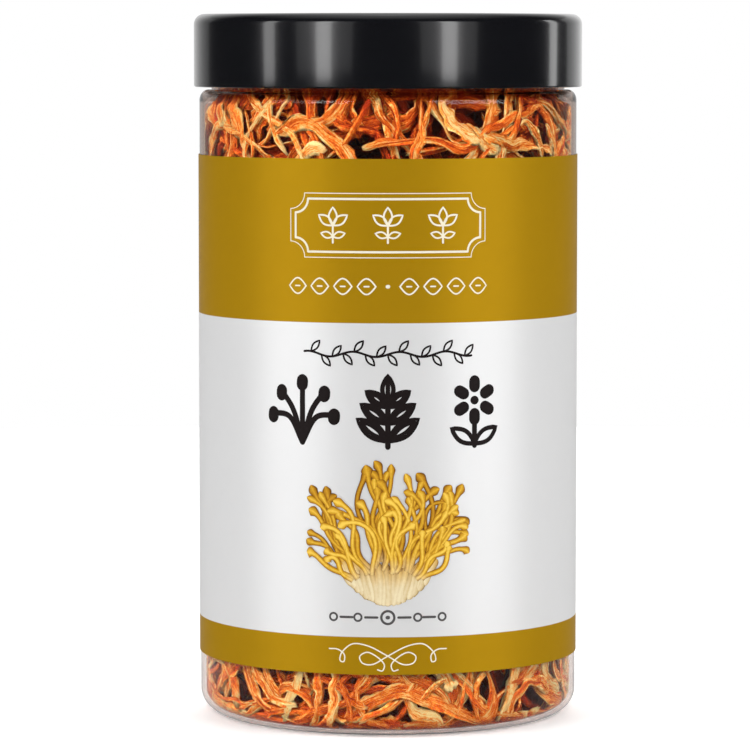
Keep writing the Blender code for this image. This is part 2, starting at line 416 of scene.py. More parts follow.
@dataclass(frozen=True)
class PictureInk:
    """The printed picture: amber stalks that darken to their sides, on a cream foot."""

    def make(self) -> bpy.types.Material:
        """Builds the material.

        Returns:
            The material.
        """
        tree = Surface("picture_ink")
        side = tree.mark("side")
        foot = tree.mark("foot")
        speck = tree.noise(tree.place(), 1400.0, 4.0, 0.65)
        shade = side * 0.75 + tree.mark("shade") + (speck - 0.5) * 0.4
        amber = [
            (0.0, (0.95, 0.64, 0.10)), (0.22, (0.72, 0.40, 0.028)),
            (0.52, (0.46, 0.20, 0.012)), (0.9, (0.13, 0.045, 0.005)),
        ]
        cream = [(0.0, (0.88, 0.76, 0.50)), (0.5, (0.70, 0.53, 0.27)), (0.95, (0.28, 0.17, 0.05))]
        stalk = tree.ramp(amber, shade)
        base = tree.ramp(cream, shade)
        return tree.dress(
            Base_Color=tree.mix(foot, stalk, base),
            Roughness=0.45 + 0.05 * speck,
            IOR=INK_IOR,
        )


@dataclass(frozen=True)
class DriedFungus:
    """Dried strands: orange, streaked lengthwise, paler on torn ends, with painted highlights on ridges
    and edges and painted shade in grooves and deeper in the filling.
    """

    deep: Colour = (0.34, 0.024, 0.003)
    red: Colour = (0.64, 0.078, 0.007)
    mid: Colour = (0.87, 0.165, 0.011)
    light: Colour = (1.0, 0.425, 0.070)
    pale: Colour = (1.0, 0.77, 0.33)
    places: tuple[float, ...] = (0.04, 0.22, 0.44, 0.64, 0.86)  # where the five colours stand

    def make(self) -> bpy.types.Material:
        """Builds the material.

        Returns:
            The material.
        """
        tree = Surface("dried_fungus")
        fibre = tree.mark("fibre", "Vector")
        streak = tree.noise(tree.stretch(fibre, (0.22, 1.9, 1.0)), 1.0, 4.0, 0.6)
        thread = tree.noise(tree.stretch(fibre, (0.7, 7.0, 1.0)), 1.0, 2.0)
        blotch = tree.noise(tree.stretch(fibre, (0.3, 0.35, 1.0)), 1.0, 4.0, 0.65)
        crinkle = tree.noise(tree.stretch(fibre, (1.5, 1.9, 1.0)), 1.0, 4.0, 0.65)
        # painted light: the ridge mark brings painted highlights and painted shade in grooves, and the
        # tone mark holds painted shade deeper in the filling besides each strand's own tone
        shade = 0.60 * tree.mark("tone") + 0.42 * tree.mark("ridge") - 0.09
        shade = shade + (streak - 0.5) * 1.4 + (thread - 0.5) * 0.7 + (blotch - 0.5) * 0.9
        shade = shade + (crinkle - 0.5) * 0.9
        colours = (self.deep, self.red, self.mid, self.light, self.pale)
        stops = list(zip(self.places, colours))
        cells = tree.add("ShaderNodeTexVoronoi", {}, {"Vector": fibre, "Scale": 1.6})
        pimple = (1.0 - cells) * tree.mark("club")
        height = streak + 0.4 * thread + 0.8 * crinkle + 1.2 * pimple
        return tree.dress(
            Base_Color=tree.ramp(stops, shade),
            Roughness=0.55 + 0.25 * streak,
            Specular_IOR_Level=0.06,
            Normal=tree.bump(height, 0.0010),
        )


# ---------------------------------------------------------------- modelling by hand


def start_clean() -> None:
    """Leaves edit mode and deselects everything."""
    if bpy.context.object and bpy.context.object.mode != "OBJECT":
        bpy.ops.object.mode_set(mode="OBJECT")
    bpy.ops.object.select_all(action="DESELECT")


def pick(piece: bpy.types.Object) -> None:
    """Makes one object the only selected and active one."""
    start_clean()
    piece.select_set(True)
    bpy.context.view_layer.objects.active = piece


def close_up(weld: float = WELD) -> None:
    """Merges the active mesh's doubles, turns its faces outwards and shades it smooth.

    Args:
        weld: Distance in metres under which points become one.
    """
    bpy.ops.object.mode_set(mode="EDIT")
    bpy.ops.mesh.select_all(action="SELECT")
    bpy.ops.mesh.remove_doubles(threshold=weld)
    bpy.ops.mesh.normals_make_consistent(inside=False)
    bpy.ops.object.mode_set(mode="OBJECT")
    bpy.ops.object.shade_smooth_by_angle(angle=SMOOTH_ANGLE)


def arc(centre: Point, wide: float, tall: float, start: float, end: float, steps: int) -> Outline:
    """Points of an elliptical arc.

    Args:
        centre: Radius and height of the arc's centre.
        wide: Half width.
        tall: Half height.
        start: First angle, in degrees from outward towards up.
        end: Last angle.
        steps: Straight pieces in the arc.

    Returns:
        The points, as (radius, height).
    """
    angles = np.radians(np.linspace(start, end, steps + 1))
    return [(centre[0] + wide * math.cos(a), centre[1] + tall * math.sin(a)) for a in angles]


def turn(name: str, outline: Outline) -> bpy.types.Object:
    """Turns an outline about the jar's axis.

    Args:
        name: The piece's name.
        outline: Points (radius, height) from axis to axis.

    Returns:
        The closed, smooth-shaded piece.
    """
    start_clean()
    bpy.ops.mesh.primitive_plane_add(size=MM)
    piece = bpy.context.active_object
    piece.name = name
    bpy.ops.object.mode_set(mode="EDIT")
    bpy.ops.mesh.select_all(action="SELECT")
    bpy.ops.mesh.merge(type="CENTER")
    points = [Vector((radius * MM, 0.0, height * MM)) for radius, height in outline]
    bpy.ops.transform.translate(value=points[0])
    for first, second in zip(points, points[1:]):
        bpy.ops.mesh.extrude_region_move(TRANSFORM_OT_translate={"value": second - first})
    bpy.ops.mesh.select_all(action="SELECT")
    bpy.ops.mesh.spin(steps=FINE, angle=math.tau, center=(0.0, 0.0, 0.0), axis=(0.0, 0.0, 1.0))
    close_up(weld=WELD * 20)  # the seam's points stray a little in 32 bits
    return piece


def ride_as(piece: bpy.types.Object, body: str, slot: str, material: bpy.types.Material,
            *nodes: str) -> None:
    """Finishes a piece: its material, body and the CAD nodes that it stands for.

    Args:
        piece: The piece.
        body: The body that it moves with.
        slot: The record's material slot; not used.
        material: Its material.
        nodes: CAD nodes that it replaces.
    """
    piece.data.materials.clear()
    piece.data.materials.append(material)
    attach(piece, body)
    if nodes:
        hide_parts(*nodes)
    log.info("%s: %d faces on body %s", piece.name, len(piece.data.polygons), body)


@dataclass(frozen=True)
class Thread:
    """A one-start, right-handed thread ridge of trapezoid section."""

    wall_r: float
    crest_r: float
    start_z: float
    turns: float
    pitch: float = 5.0
    root_half: float = 0.9
    crest_half: float = 0.5
    sink: float = 0.5

    def make(self) -> bpy.types.Object:
        """Builds the ridge as a closed body whose root runs into its wall.

        Returns:
            The ridge.
        """
        outward = 1.0 if self.crest_r > self.wall_r else -1.0
        root_r = self.wall_r - outward * self.sink
        corners = [
            (root_r, -self.root_half), (self.crest_r, -self.crest_half),
            (root_r, self.root_half), (self.crest_r, self.crest_half),
        ]
        start_clean()
        bpy.ops.mesh.primitive_plane_add(size=MM)
        ridge = bpy.context.active_object
        for vert, (radius, up) in zip(ridge.data.vertices, corners):
            vert.co = (radius * MM, 0.0, (self.start_z + up) * MM)
        bpy.ops.object.mode_set(mode="EDIT")
        bpy.ops.mesh.select_all(action="SELECT")
        bpy.ops.mesh.delete(type="ONLY_FACE")
        bpy.ops.object.mode_set(mode="OBJECT")
        screw = ridge.modifiers.new("Thread", "SCREW")
        screw.angle = math.tau * self.turns
        screw.screw_offset = self.pitch * self.turns * MM
        screw.steps = screw.render_steps = round(self.turns * FINE)
        bpy.ops.object.modifier_apply(modifier=screw.name)
        bpy.ops.object.mode_set(mode="EDIT")
        bpy.ops.mesh.select_all(action="SELECT")
        bpy.ops.mesh.fill_holes(sides=4)
        bpy.ops.mesh.select_all(action="SELECT")
        bpy.ops.mesh.normals_make_consistent(inside=False)
        bpy.ops.object.mode_set(mode="OBJECT")
        return ridge

    def join_to(self, body: bpy.types.Object) -> None:
        """Joins the ridge to a turned piece.

        Args:
            body: The piece, whose wall the ridge's root runs into.
        """
        ridge = self.make()
        pick(body)
        union = body.modifiers.new("Thread", "BOOLEAN")
        union.operation = "UNION"
        union.object = ridge
        bpy.ops.object.modifier_apply(modifier=union.name)
        bpy.data.objects.remove(ridge)
        bpy.ops.object.shade_smooth_by_angle(angle=SMOOTH_ANGLE)


# ---------------------------------------------------------------- jar, cap and label


@dataclass
class Jar:
    """The blown jar: rounded heel, pushed-up base, shoulder and threaded neck."""

    body_r: float
    mouth_z: float
    wall: float = 0.9
    heel_wide: float = 5.8
    heel_tall: float = 5.4
    ring_in_r: float = 33.0
    punt_r: float = 30.0
    punt_edge_z: float = 1.4
    punt_z: float = 3.0
    gate_r: float = 1.8
    gate_deep: float = 0.5
    shoulder_z: float = 137.6
    shoulder_ledge: float = 0.7
    neck_z: float = 140.0
    neck_r: float = 39.5
    neck_wall: float = 1.2
    rim_r: float = 0.35
    inner_drop: float = 0.6  # how much lower the shoulder's curve starts inside
    ring_slope: Point = (0.8, 0.12)  # run and rise from the standing ring inwards
    gate_slope: float = 0.4
    thread_crest_r: float = 40.9
    thread_z: float = 144.6

    def punt(self, radius: float) -> float:
        """Height of the underside of the pushed-up middle."""
        return self.punt_z - (self.punt_z - self.punt_edge_z) * (radius / self.punt_r) ** 2

    def heel(self, inset: float) -> Outline:
        """The rounded heel from the side down to the standing ring, moved in by inset."""
        centre = (self.body_r - self.heel_wide, self.heel_tall)
        return arc(centre, self.heel_wide - inset, self.heel_tall - inset, 0.0, -90.0, 20)

    def outline(self) -> Outline:
        """The wall's section.

        Returns:
            Its points, up the inside and down the outside, from axis to axis.
        """
        inner_r = self.body_r - self.wall
        neck_in = self.neck_r - self.neck_wall
        ledge = self.body_r - self.neck_r - self.shoulder_ledge
        shoulder = (self.body_r - ledge, self.shoulder_z)
        rise = self.neck_z - self.shoulder_z
        middle = [float(r) for r in np.linspace(0.0, self.punt_r - self.gate_slope, 12)]
        inside = [(r, self.punt(r) + self.wall) for r in middle]
        inside += [(self.ring_in_r, self.wall), *reversed(self.heel(self.wall))]
        inner_shoulder = (inner_r - ledge, self.shoulder_z - self.inner_drop)
        inside += arc(inner_shoulder, ledge, rise - 0.1, 0.0, 72.0, 9)
        inside += [(neck_in, self.neck_z)]
        rim = (self.neck_r - self.rim_r, self.mouth_z - self.rim_r)
        rim_in = (neck_in + self.rim_r, self.mouth_z - self.rim_r)
        inside += arc(rim_in, self.rim_r, self.rim_r, 180.0, 90.0, 4)
        outside = arc(rim, self.rim_r, self.rim_r, 90.0, 0.0, 4) + [(self.neck_r, self.neck_z)]
        outside += list(reversed(arc(shoulder, ledge, rise, 0.0, 90.0, 12)))
        outside += self.heel(0.0)
        run, climb = self.ring_slope
        outside += [(self.ring_in_r, 0.0), (self.ring_in_r - run, climb)]
        gate_edge = self.gate_r + self.gate_slope
        outside += [(r, self.punt(r)) for r in reversed(middle[1:]) if r > gate_edge]
        gate_z = self.punt_z - self.gate_deep
        outside += [(gate_edge, self.punt(self.gate_r)), (self.gate_r, gate_z), (0.0, gate_z)]
        return inside + outside

    def build(self, material: bpy.types.Material) -> None:
        """Builds the jar in place of its CAD node.

        Args:
            material: The jar's plastic.
        """
        piece = turn("jar_wall", self.outline())
        thread = Thread(self.neck_r, self.thread_crest_r, self.thread_z, turns=1.0)
        thread.join_to(piece)
        ride_as(piece, "jar", "clear_plastic", material, "jar")


@dataclass
class Cap:
    """The screw cap, with a rounded top edge and a thread inside."""

    radius: float
    bottom_z: float
    top_z: float
    wall: float = 1.5
    plate: float = 1.6
    edge_r: float = 2.3
    lip_r: float = 0.4
    corner_r: float = 1.0
    thread_crest_r: float = 40.3
    thread_z: float = 142.85

    def outline(self) -> Outline:
        """The cap's section.

        Returns:
            Its points, down the outside and up the inside, from axis to axis.
        """
        inner_r = self.radius - self.wall
        under = self.top_z - self.plate
        edge = (self.radius - self.edge_r, self.top_z - self.edge_r)
        lip = (self.radius - self.lip_r, self.bottom_z + self.lip_r)
        corner = (inner_r - self.corner_r, under - self.corner_r)
        points = [(0.0, self.top_z), *arc(edge, self.edge_r, self.edge_r, 90.0, 0.0, 14)]
        points += arc(lip, self.lip_r, self.lip_r, 0.0, -90.0, 5)
        points += [(inner_r, self.bottom_z)]
        return points + [*arc(corner, self.corner_r, self.corner_r, 0.0, 90.0, 6), (0.0, under)]

    def build(self, material: bpy.types.Material) -> None:
        """Builds the cap in place of its CAD node.

        Args:
            material: The cap's plastic.
        """
        piece = turn("cap_shell", self.outline())
        inner_r = self.radius - self.wall
        thread = Thread(inner_r, self.thread_crest_r, self.thread_z, turns=0.85)
        thread.join_to(piece)
        ride_as(piece, "cap", "black_plastic", material, "cap")


@dataclass
class Liner:
    """The foam disc in the cap, with pressed rings."""

    radius: float
    low_z: float
    top_z: float
    edge: float = 0.25
    rings: tuple[float, ...] = (38.0, 32.0, 26.0)
    ring_half: float = 0.6
    ring_deep: float = 0.12

    def outline(self) -> Outline:
        """The disc's section.

        Returns:
            Its points, along the top and back along the ringed underside.
        """
        points = [(0.0, self.top_z), (self.radius - self.edge, self.top_z)]
        points += [(self.radius, self.top_z - self.edge), (self.radius, self.low_z + self.edge)]
        points += [(self.radius - self.edge, self.low_z)]
        for ring_r in self.rings:
            points += [(ring_r + self.ring_half, self.low_z), (ring_r, self.low_z + self.ring_deep)]
            points += [(ring_r - self.ring_half, self.low_z)]
        return points + [(0.0, self.low_z)]

    def build(self, material: bpy.types.Material) -> None:
        """Builds the liner in place of its CAD node."""
        ride_as(turn("liner_disc", self.outline()), "liner", "white_foam", material, "cap_liner")


@dataclass(frozen=True)
class Stroke:
    """A printed line: its points (across, up) on the label and half its width."""

    points: Line
    half: float

    def rounded(self, longest: float = 1.2) -> list[tuple[float, float, float]]:
        """Rounds the line's ends and cuts its long runs, so that it can bend round the jar.

        Args:
            longest: Most that two neighbouring points may be apart.

        Returns:
            Its points, as (across, up, half width).
        """
        line = [(*self.points[0], self.half)]
        for before, after in zip(self.points, self.points[1:]):
            cuts = max(1, math.ceil(math.dist(before, after) / longest))
            for part in np.linspace(0.0, 1.0, cuts + 1)[1:]:
                across = before[0] + (after[0] - before[0]) * float(part)
                line.append((across, before[1] + (after[1] - before[1]) * float(part), self.half))
        head = self._end(self.points[1], self.points[0])
        tail = self._end(self.points[-2], self.points[-1])
        return [*reversed(head), *line, *tail]

    def _end(self, before: Point, last: Point) -> list[tuple[float, float, float]]:
        """Rounds off one end.

        Args:
            before: The point next to the end.
            last: The end.

        Returns:
            The points that go past the end, as (across, up, half width).
        """
        long = math.dist(before, last)
        go = ((last[0] - before[0]) / long, (last[1] - before[1]) / long)
        points = []
        for angle in (0.45, 0.9, 1.3, 1.52):
            out = self.half * math.sin(angle)
            points.append((last[0] + go[0] * out, last[1] + go[1] * out, self.half * math.cos(angle)))
        return points


def wave(points: Sequence[Point], steps: int = 8) -> Line:
    """Draws a smooth line through a few points of the label.

    Args:
        points: The points.
        steps: Straight pieces from each point to the next.

    Returns:
        The line.
    """
    flat = np.array([[(x, y, 0.0) for x, y in points]])
    fine = smooth_through(flat, (len(points) - 1) * steps + 1)[0]
    return tuple((float(x), float(y)) for x, y, _ in fine)


def ring(centre: Point, radius: float, start: float = 0.0, end: float = 360.0) -> Line:
    """Points along a circle from one angle to another, in degrees, every 9 degrees or so."""
    return tuple(arc(centre, radius, radius, start, end, round((end - start) / 9.0) - 1))


def leaf(base: Point, long: float, wide: float, heading: float) -> Line:
    """Outlines a pointed leaf.

    Args:
        base: Where it starts and ends.
        long: Its length.
        wide: Half its width.
        heading: Its direction, in degrees from across towards up.

    Returns:
        The outline.
    """
    way = math.radians(heading)
    parts = np.linspace(0.0, 1.0, 11)
    points = [(long * part, wide * math.sin(math.pi * part)) for part in parts]
    points += [(x, -y) for x, y in reversed(points[:-1])]
    return tuple(
        (
            base[0] + x * math.cos(way) - y * math.sin(way),
            base[1] + x * math.sin(way) + y * math.cos(way),
        )
        for x, y in points
    )


def mirrored(strokes: Sequence[Stroke]) -> list[Stroke]:
    """Strokes with their copies on the other side of the label's middle."""
    copies = [Stroke(tuple((-x, y) for x, y in stroke.points), stroke.half) for stroke in strokes]
    return [*strokes, *copies]


def dot(centre: Point, half: float) -> Stroke:
    """A round dot, which is a very short line."""
    return Stroke(((centre[0] - 0.1, centre[1]), (centre[0] + 0.1, centre[1])), half)


@dataclass(frozen=True)
class Tube:
    """One stalk of the printed bunch: centre line, half widths and marks, from its foot on."""

    line: np.ndarray
    half: np.ndarray
    foot: np.ndarray
    shade: np.ndarray
    level: float


@dataclass(frozen=True)
class Bunch:
    """The printed picture: curved stalks with club ends on a pale foot."""

    seed: int = 11
    foot_count: int = 26
    stalk_count: int = 60
    foot_half: float = 8.6
    foot_z: float = 29.0
    stalk_z: float = 36.0
    stalk_span: Point = (18.0, 24.6)  # half width and height that the stalks must stay in
    tip: float = 0.86  # share of a stalk after which its points stand closer together
    sides: int = 12
    relief: float = 0.16

    def along(self) -> np.ndarray:
        """Places along a stalk, from 0 at its foot to 1 at its tip."""
        end = self.tip + (1.0 - self.tip) * np.sin(np.linspace(0.15, 1.57, 12))
        return np.concatenate([np.linspace(0.0, self.tip, 20), end])

    def foot_tube(self, number: int, random: np.random.Generator) -> Tube:
        """Draws one of the thick pale tubes of the foot.

        Args:
            number: Its number, from 0.
            random: Source of the random draws.

        Returns:
            The tube.
        """
        along = self.along()
        place = (number * 7) % self.foot_count
        across = -self.foot_half + 2.0 * self.foot_half * place / (self.foot_count - 1)
        across += random.uniform(-0.3, 0.3)
        off = (across / self.foot_half) ** 2
        up = self.foot_z + 4.2 * off + along * random.uniform(8.2, 9.6) * (1.0 - 0.35 * off)
        sway = across * (0.80 + 0.42 * along) + 0.3 * np.sin(along * 4.0 + random.uniform(0.0, 6.0))
        return Tube(
            line=np.stack([sway, up], axis=-1),
            half=1.1 * np.sqrt(np.clip(1.0 - (2.0 * along - 1.0) ** 6, 0.0, 1.0)) + 0.02,
            foot=1.0 - 0.75 * np.clip((along - 0.45) / 0.5, 0.0, 1.0),
            shade=random.uniform(-0.1, 0.2) + 0.25 * along,
            level=0.02 + 0.001 * number,
        )

    def stalk_tube(self, number: int, random: np.random.Generator) -> Tube:
        """Draws one stalk. The later ones are shorter and lie in front.

        Args:
            number: Its number, from 0.
            random: Source of the random draws.

        Returns:
            The tube.
        """
        along = self.along()
        spread = random.uniform(-1.0, 1.0)
        depth = number / self.stalk_count
        long = random.uniform(20.0, 25.5) - 12.0 * depth * random.uniform(0.3, 1.0) - 4.0 * spread**2
        heading = spread * random.uniform(0.45, 1.05) + random.uniform(-0.4, 0.9) * spread * along
        heading = heading + random.uniform(0.25, 0.6) * np.sin(along * random.uniform(5.0, 9.0) + number)
        heading = heading + random.choice([-1.0, 1.0]) * random.uniform(0.0, 2.0) * along**5
        step = long * np.diff(along, prepend=0.0)
        x = spread * 8.0 + np.cumsum(np.sin(heading) * step)
        y = 39.4 - 3.4 * depth - 2.0 * spread**2 + np.cumsum(np.cos(heading) * step)
        reach, tall = max(float(np.abs(x).max()), 1.0), max(float(y.max()) - self.stalk_z, 1.0)
        shrink = min(1.0, self.stalk_span[0] / reach, self.stalk_span[1] / tall)
        club = 1.0 + random.uniform(0.6, 1.15) * np.exp(-(((along - 0.945) / 0.05) ** 2))
        end = np.sqrt(np.clip(1.0 - np.clip((along - 0.93) / 0.0702, 0.0, 1.0) ** 2, 0.0, 1.0))
        return Tube(
            line=np.stack([x * shrink, self.stalk_z + (y - self.stalk_z) * shrink], axis=-1),
            half=random.uniform(0.48, 0.64) * club * end + 0.02,
            foot=0.5 * np.clip(1.0 - along / 0.2, 0.0, 1.0),
            shade=0.5 * (1.0 - depth) * random.uniform(0.5, 1.0) - 0.16 * along + 0.02,
            level=0.06 + 0.0024 * number,
        )

    def build(self) -> bpy.types.Object:
        """Builds the picture flat, drawn across and up.

        Returns:
            The piece.
        """
        random = np.random.default_rng(self.seed)
        tubes = [self.foot_tube(number, random) for number in range(self.foot_count)]
        tubes += [self.stalk_tube(number, random) for number in range(self.stalk_count)]
        centres = np.array([tube.line for tube in tubes])
        half = np.array([tube.half for tube in tubes])
        level = np.array([tube.level for tube in tubes])
        go = np.gradient(centres, axis=1)
        go /= np.linalg.norm(go, axis=-1, keepdims=True) + 1e-9
        angle = np.linspace(0.0, math.tau, self.sides, endpoint=False)
        reach = half[..., None] * np.cos(angle)
        rings = np.empty((*half.shape, self.sides, 3))
        rings[..., 0] = centres[..., None, 0] - go[..., None, 1] * reach
        rings[..., 1] = centres[..., None, 1] + go[..., None, 0] * reach
        rings[..., 2] = level[:, None, None] + self.relief * half[..., None] * np.sin(angle)
        marks = {
            "side": np.abs(np.cos(angle)) ** 1.6,
            "foot": np.array([tube.foot for tube in tubes])[..., None],
            "shade": np.array([tube.shade for tube in tubes])[..., None],
        }
        spread = {name: np.broadcast_to(mark, rings.shape[:3]) for name, mark in marks.items()}
        return loft("label_picture", rings * MM, spread)


@dataclass
class Label:
    """Printed film round the jar, with its line ornaments and picture a hair proud of it."""

    inner_r: float
    low_z: float
    top_z: float
    thick: float = 0.17
    window: float = 12.0
    white_low: float = 22.3
    white_top: float = 90.3
    lift: float = 0.02
    flat: float = 0.04  # height of a printed line as a share of its half width
    plaque_z: float = 111.3
    lozenge_z: float = 98.2
    vine_z: float = 83.6
    emblem_z: float = 63.6
    emblem_x: float = 19.4
    dash_z: float = 26.6

    def wrap(self, piece: bpy.types.Object, radius: float) -> None:
        """Bends a flat piece, drawn across and up, round the jar.

        Args:
            piece: The piece, with its height off the label along Z.
            radius: Radius of the surface that it lies on.
        """
        for vert in piece.data.vertices:
            reach = radius * MM + vert.co.z
            angle = vert.co.x / (radius * MM)
            vert.co = (reach * math.sin(angle), -reach * math.cos(angle), vert.co.y)

    def build_film(self, material: bpy.types.Material) -> None:
        """Builds the film in place of its CAD node.

        Args:
            material: The printed film.
        """
        across = math.tau * self.inner_r - self.window
        start_clean()
        bpy.ops.mesh.primitive_grid_add(x_subdivisions=184, y_subdivisions=12, size=MM)
        film = bpy.context.active_object
        film.name = "label_film"
        for vert in film.data.vertices:
            up = self.low_z + (vert.co.y / MM + 0.5) * (self.top_z - self.low_z)
            vert.co = (vert.co.x * across, up * MM, 0.0)
        self.wrap(film, self.inner_r)
        shell = film.modifiers.new("Film", "SOLIDIFY")
        shell.thickness = self.thick * MM
        shell.offset = 1.0
        bpy.ops.object.modifier_apply(modifier=shell.name)
        bpy.ops.object.shade_smooth_by_angle(angle=SMOOTH_ANGLE)
        ride_as(film, "jar", "printed_film", material, "label")

    def draw(self, name: str, strokes: Sequence[Stroke], material: bpy.types.Material) -> None:
        """Builds printed lines as one thin mesh.

        Args:
            name: The piece's name.
            strokes: Its lines.
            material: Its ink.
        """
        curve = bpy.data.curves.new(name, "CURVE")
        curve.dimensions = "3D"
        curve.bevel_depth = MM
        curve.bevel_resolution = 2
        curve.use_fill_caps = True
        for stroke in strokes:
            line = stroke.rounded()
            spline = curve.splines.new("POLY")
            spline.points.add(len(line) - 1)
            for point, (across, up, half) in zip(spline.points, line):
                point.co = (across * MM, up * MM, 0.0, 1.0)
                point.radius = half
        piece = bpy.data.objects.new(name, curve)
        bpy.context.scene.collection.objects.link(piece)
        pick(piece)
        bpy.ops.object.convert(target="MESH")
        piece = bpy.context.active_object
        for vert in piece.data.vertices:
            vert.co.z = self.lift * MM + self.flat * vert.co.z
        self.wrap(piece, self.inner_r + self.thick)
        close_up()
        ride_as(piece, "jar", "printed_film", material)

    def cartouche(self) -> list[Stroke]:
        """Draws a plaque of two lines with scooped corners, and three small sprigs inside it.

        Returns:
            Its lines.
        """
        strokes = []
        scoop_from = {(-1.0, 1.0): 0.0, (1.0, 1.0): 90.0, (-1.0, -1.0): 270.0, (1.0, -1.0): 180.0}
        for wide, tall, scoop, half in ((21.9, 6.9, 3.4, 0.10), (20.7, 5.7, 3.0, 0.24)):
            low, top = self.plaque_z - tall, self.plaque_z + tall
            for side in (-1.0, 1.0):
                edge = side * wide
                strokes.append(Stroke(((edge, low + scoop), (edge, top - scoop)), half))
            for up, facing in ((low, 1.0), (top, -1.0)):
                strokes.append(Stroke(((scoop - wide, up), (wide - scoop, up)), half))
                for side in (-1.0, 1.0):
                    start = scoop_from[(side, facing)]
                    strokes.append(Stroke(ring((side * wide, up), scoop, start, start + 90.0), half))
        for middle in (-12.0, 0.0, 12.0):
            strokes += self.sprig(middle)
        return strokes

    def sprig(self, middle: float) -> list[Stroke]:
        """Draws a sprig of three leaves at the top and two smaller ones below.

        Args:
            middle: Where its stem stands, across the label.

        Returns:
            Its lines.
        """
        low, fork = self.plaque_z - 3.7, self.plaque_z - 2.4
        strokes = [Stroke(((middle, low), (middle, self.plaque_z + 0.5)), 0.22)]
        for heading in (35.0, 90.0, 145.0):
            strokes.append(Stroke(leaf((middle, self.plaque_z), 3.9, 0.9, heading), 0.2))
        for heading in (15.0, 165.0):
            strokes.append(Stroke(leaf((middle, fork), 2.8, 0.65, heading), 0.18))
        return strokes

    def lozenge_row(self) -> list[Stroke]:
        """Draws a row of open lozenges either side of a dot.

        Returns:
            Its lines.
        """
        up = self.lozenge_z
        right = []
        for place in (4.6, 9.8, 15.0, 20.2):
            right.append(Stroke(leaf((place - 2.0, up), 4.0, 1.7, 0.0), 0.17))
            right.append(Stroke(((place - 0.5, up), (place + 0.5, up)), 0.17))
        return [*mirrored(right), dot((0.0, up), 0.4)]

    def vine(self) -> list[Stroke]:
        """Draws a thin vine with small leaves above and below its stem.

        Returns:
            Its lines.
        """

        def stem(across: float) -> Point:
            """A point of the stem."""
            return float(across), self.vine_z + 0.55 * math.sin(0.62 * float(across))

        strokes = [Stroke(tuple(stem(across) for across in np.linspace(-18.6, 18.6, 75)), 0.24)]
        for number, across in enumerate(np.linspace(-17.0, 17.0, 15)):
            heading = 50.0 if number % 2 == 0 else -50.0
            strokes.append(Stroke(leaf(stem(across), 3.1, 0.62, heading), 0.2))
        return strokes

    def emblems(self) -> list[Stroke]:
        """Draws three bold plants: a fan of club stalks, a leafy sprig and a flower.

        Returns:
            Their lines.
        """
        return [*self.fan(), *self.fir(), *self.flower()]

    def fan(self) -> list[Stroke]:
        """Draws five stalks with round heads.

        Returns:
            Their lines.
        """
        x, low = 0.3 - self.emblem_x, self.emblem_z + 0.7
        strokes = []
        for lean, long in ((-50.0, 9.6), (-25.0, 12.2), (0.0, 13.4), (25.0, 12.2), (50.0, 9.6)):
            side, up = math.sin(math.radians(lean)), math.cos(math.radians(lean))
            head = (x + side * long, low + up * long)
            bend = (x + side * long * 0.42, low + long * 0.56)
            strokes.append(Stroke(wave([(x, low), bend, head]), 0.62))
            strokes.append(Stroke(((head[0] - 0.05, head[1] - 0.9), head), 1.35))
        return strokes

    def fir(self) -> list[Stroke]:
        """Draws a stem with three pairs of leaves and one at its tip.

        Returns:
            Its lines.
        """
        low = self.emblem_z
        right = []
        for up, long, wide in ((1.2, 8.2, 1.5), (5.0, 7.2, 1.35), (8.6, 5.8, 1.2)):
            right.append(Stroke(leaf((0.0, low + up), long, wide, 36.0), 0.45))
            right.append(Stroke(leaf((0.9, low + up + 0.7), long - 2.2, wide * 0.45, 36.0), 0.4))
        tip = Stroke(leaf((0.0, low + 9.4), 6.0, 1.2, 90.0), 0.5)
        vein = Stroke(((0.0, low + 10.8), (0.0, low + 14.0)), 0.5)
        return [Stroke(((0.0, low), (0.0, low + 9.6)), 0.6), *mirrored(right), tip, vein]

    def flower(self) -> list[Stroke]:
        """Draws a flower of six petals on a stem with two leaves.

        Returns:
            Its lines.
        """
        x, low, middle = self.emblem_x, self.emblem_z, self.emblem_z + 9.8
        strokes = [Stroke(((x, low), (x, low + 5.8)), 0.6)]
        for heading in (32.0, 148.0):
            strokes.append(Stroke(leaf((x, low + 0.4), 6.4, 1.25, heading), 0.5))
        for number in range(6):
            heading = math.radians(90.0 + 60.0 * number)
            go = (math.cos(heading), math.sin(heading))
            near, far = ((x + away * go[0], middle + away * go[1]) for away in (3.0, 4.1))
            strokes.append(Stroke((near, far), 1.3))
        return [*strokes, Stroke(((x - 0.05, middle), (x + 0.05, middle)), 0.95)]

    def dashes(self) -> list[Stroke]:
        """Draws a short row of dashes and rings.

        Returns:
            Its lines.
        """
        up = self.dash_z
        right = []
        for place in (3.6, 9.0):
            right.append(Stroke(((place - 1.3, up), (place + 1.3, up)), 0.26))
            right.append(Stroke(ring((place + 2.9, up), 0.8), 0.22))
        return [*mirrored(right), Stroke(ring((0.0, up), 1.4), 0.26), dot((0.0, up), 0.4)]

    def flourish(self) -> list[Stroke]:
        """Draws a symmetric swirl of crossing loops with curled ends.

        Returns:
            Its lines.
        """
        sweep = wave([
            (14.6, 19.6), (12.4, 19.5), (10.8, 18.4), (10.9, 16.9), (11.9, 17.2), (11.3, 19.0),
            (8.6, 20.8), (4.6, 20.3), (0.0, 18.2), (-3.6, 16.4), (-6.2, 16.6), (-6.9, 18.1),
            (-5.0, 19.0), (-2.6, 18.0), (-0.9, 16.4), (-1.3, 15.0), (-2.5, 15.2),
        ], steps=7)
        return mirrored([Stroke(tuple((x * 0.88, y) for x, y in sweep), 0.14)])

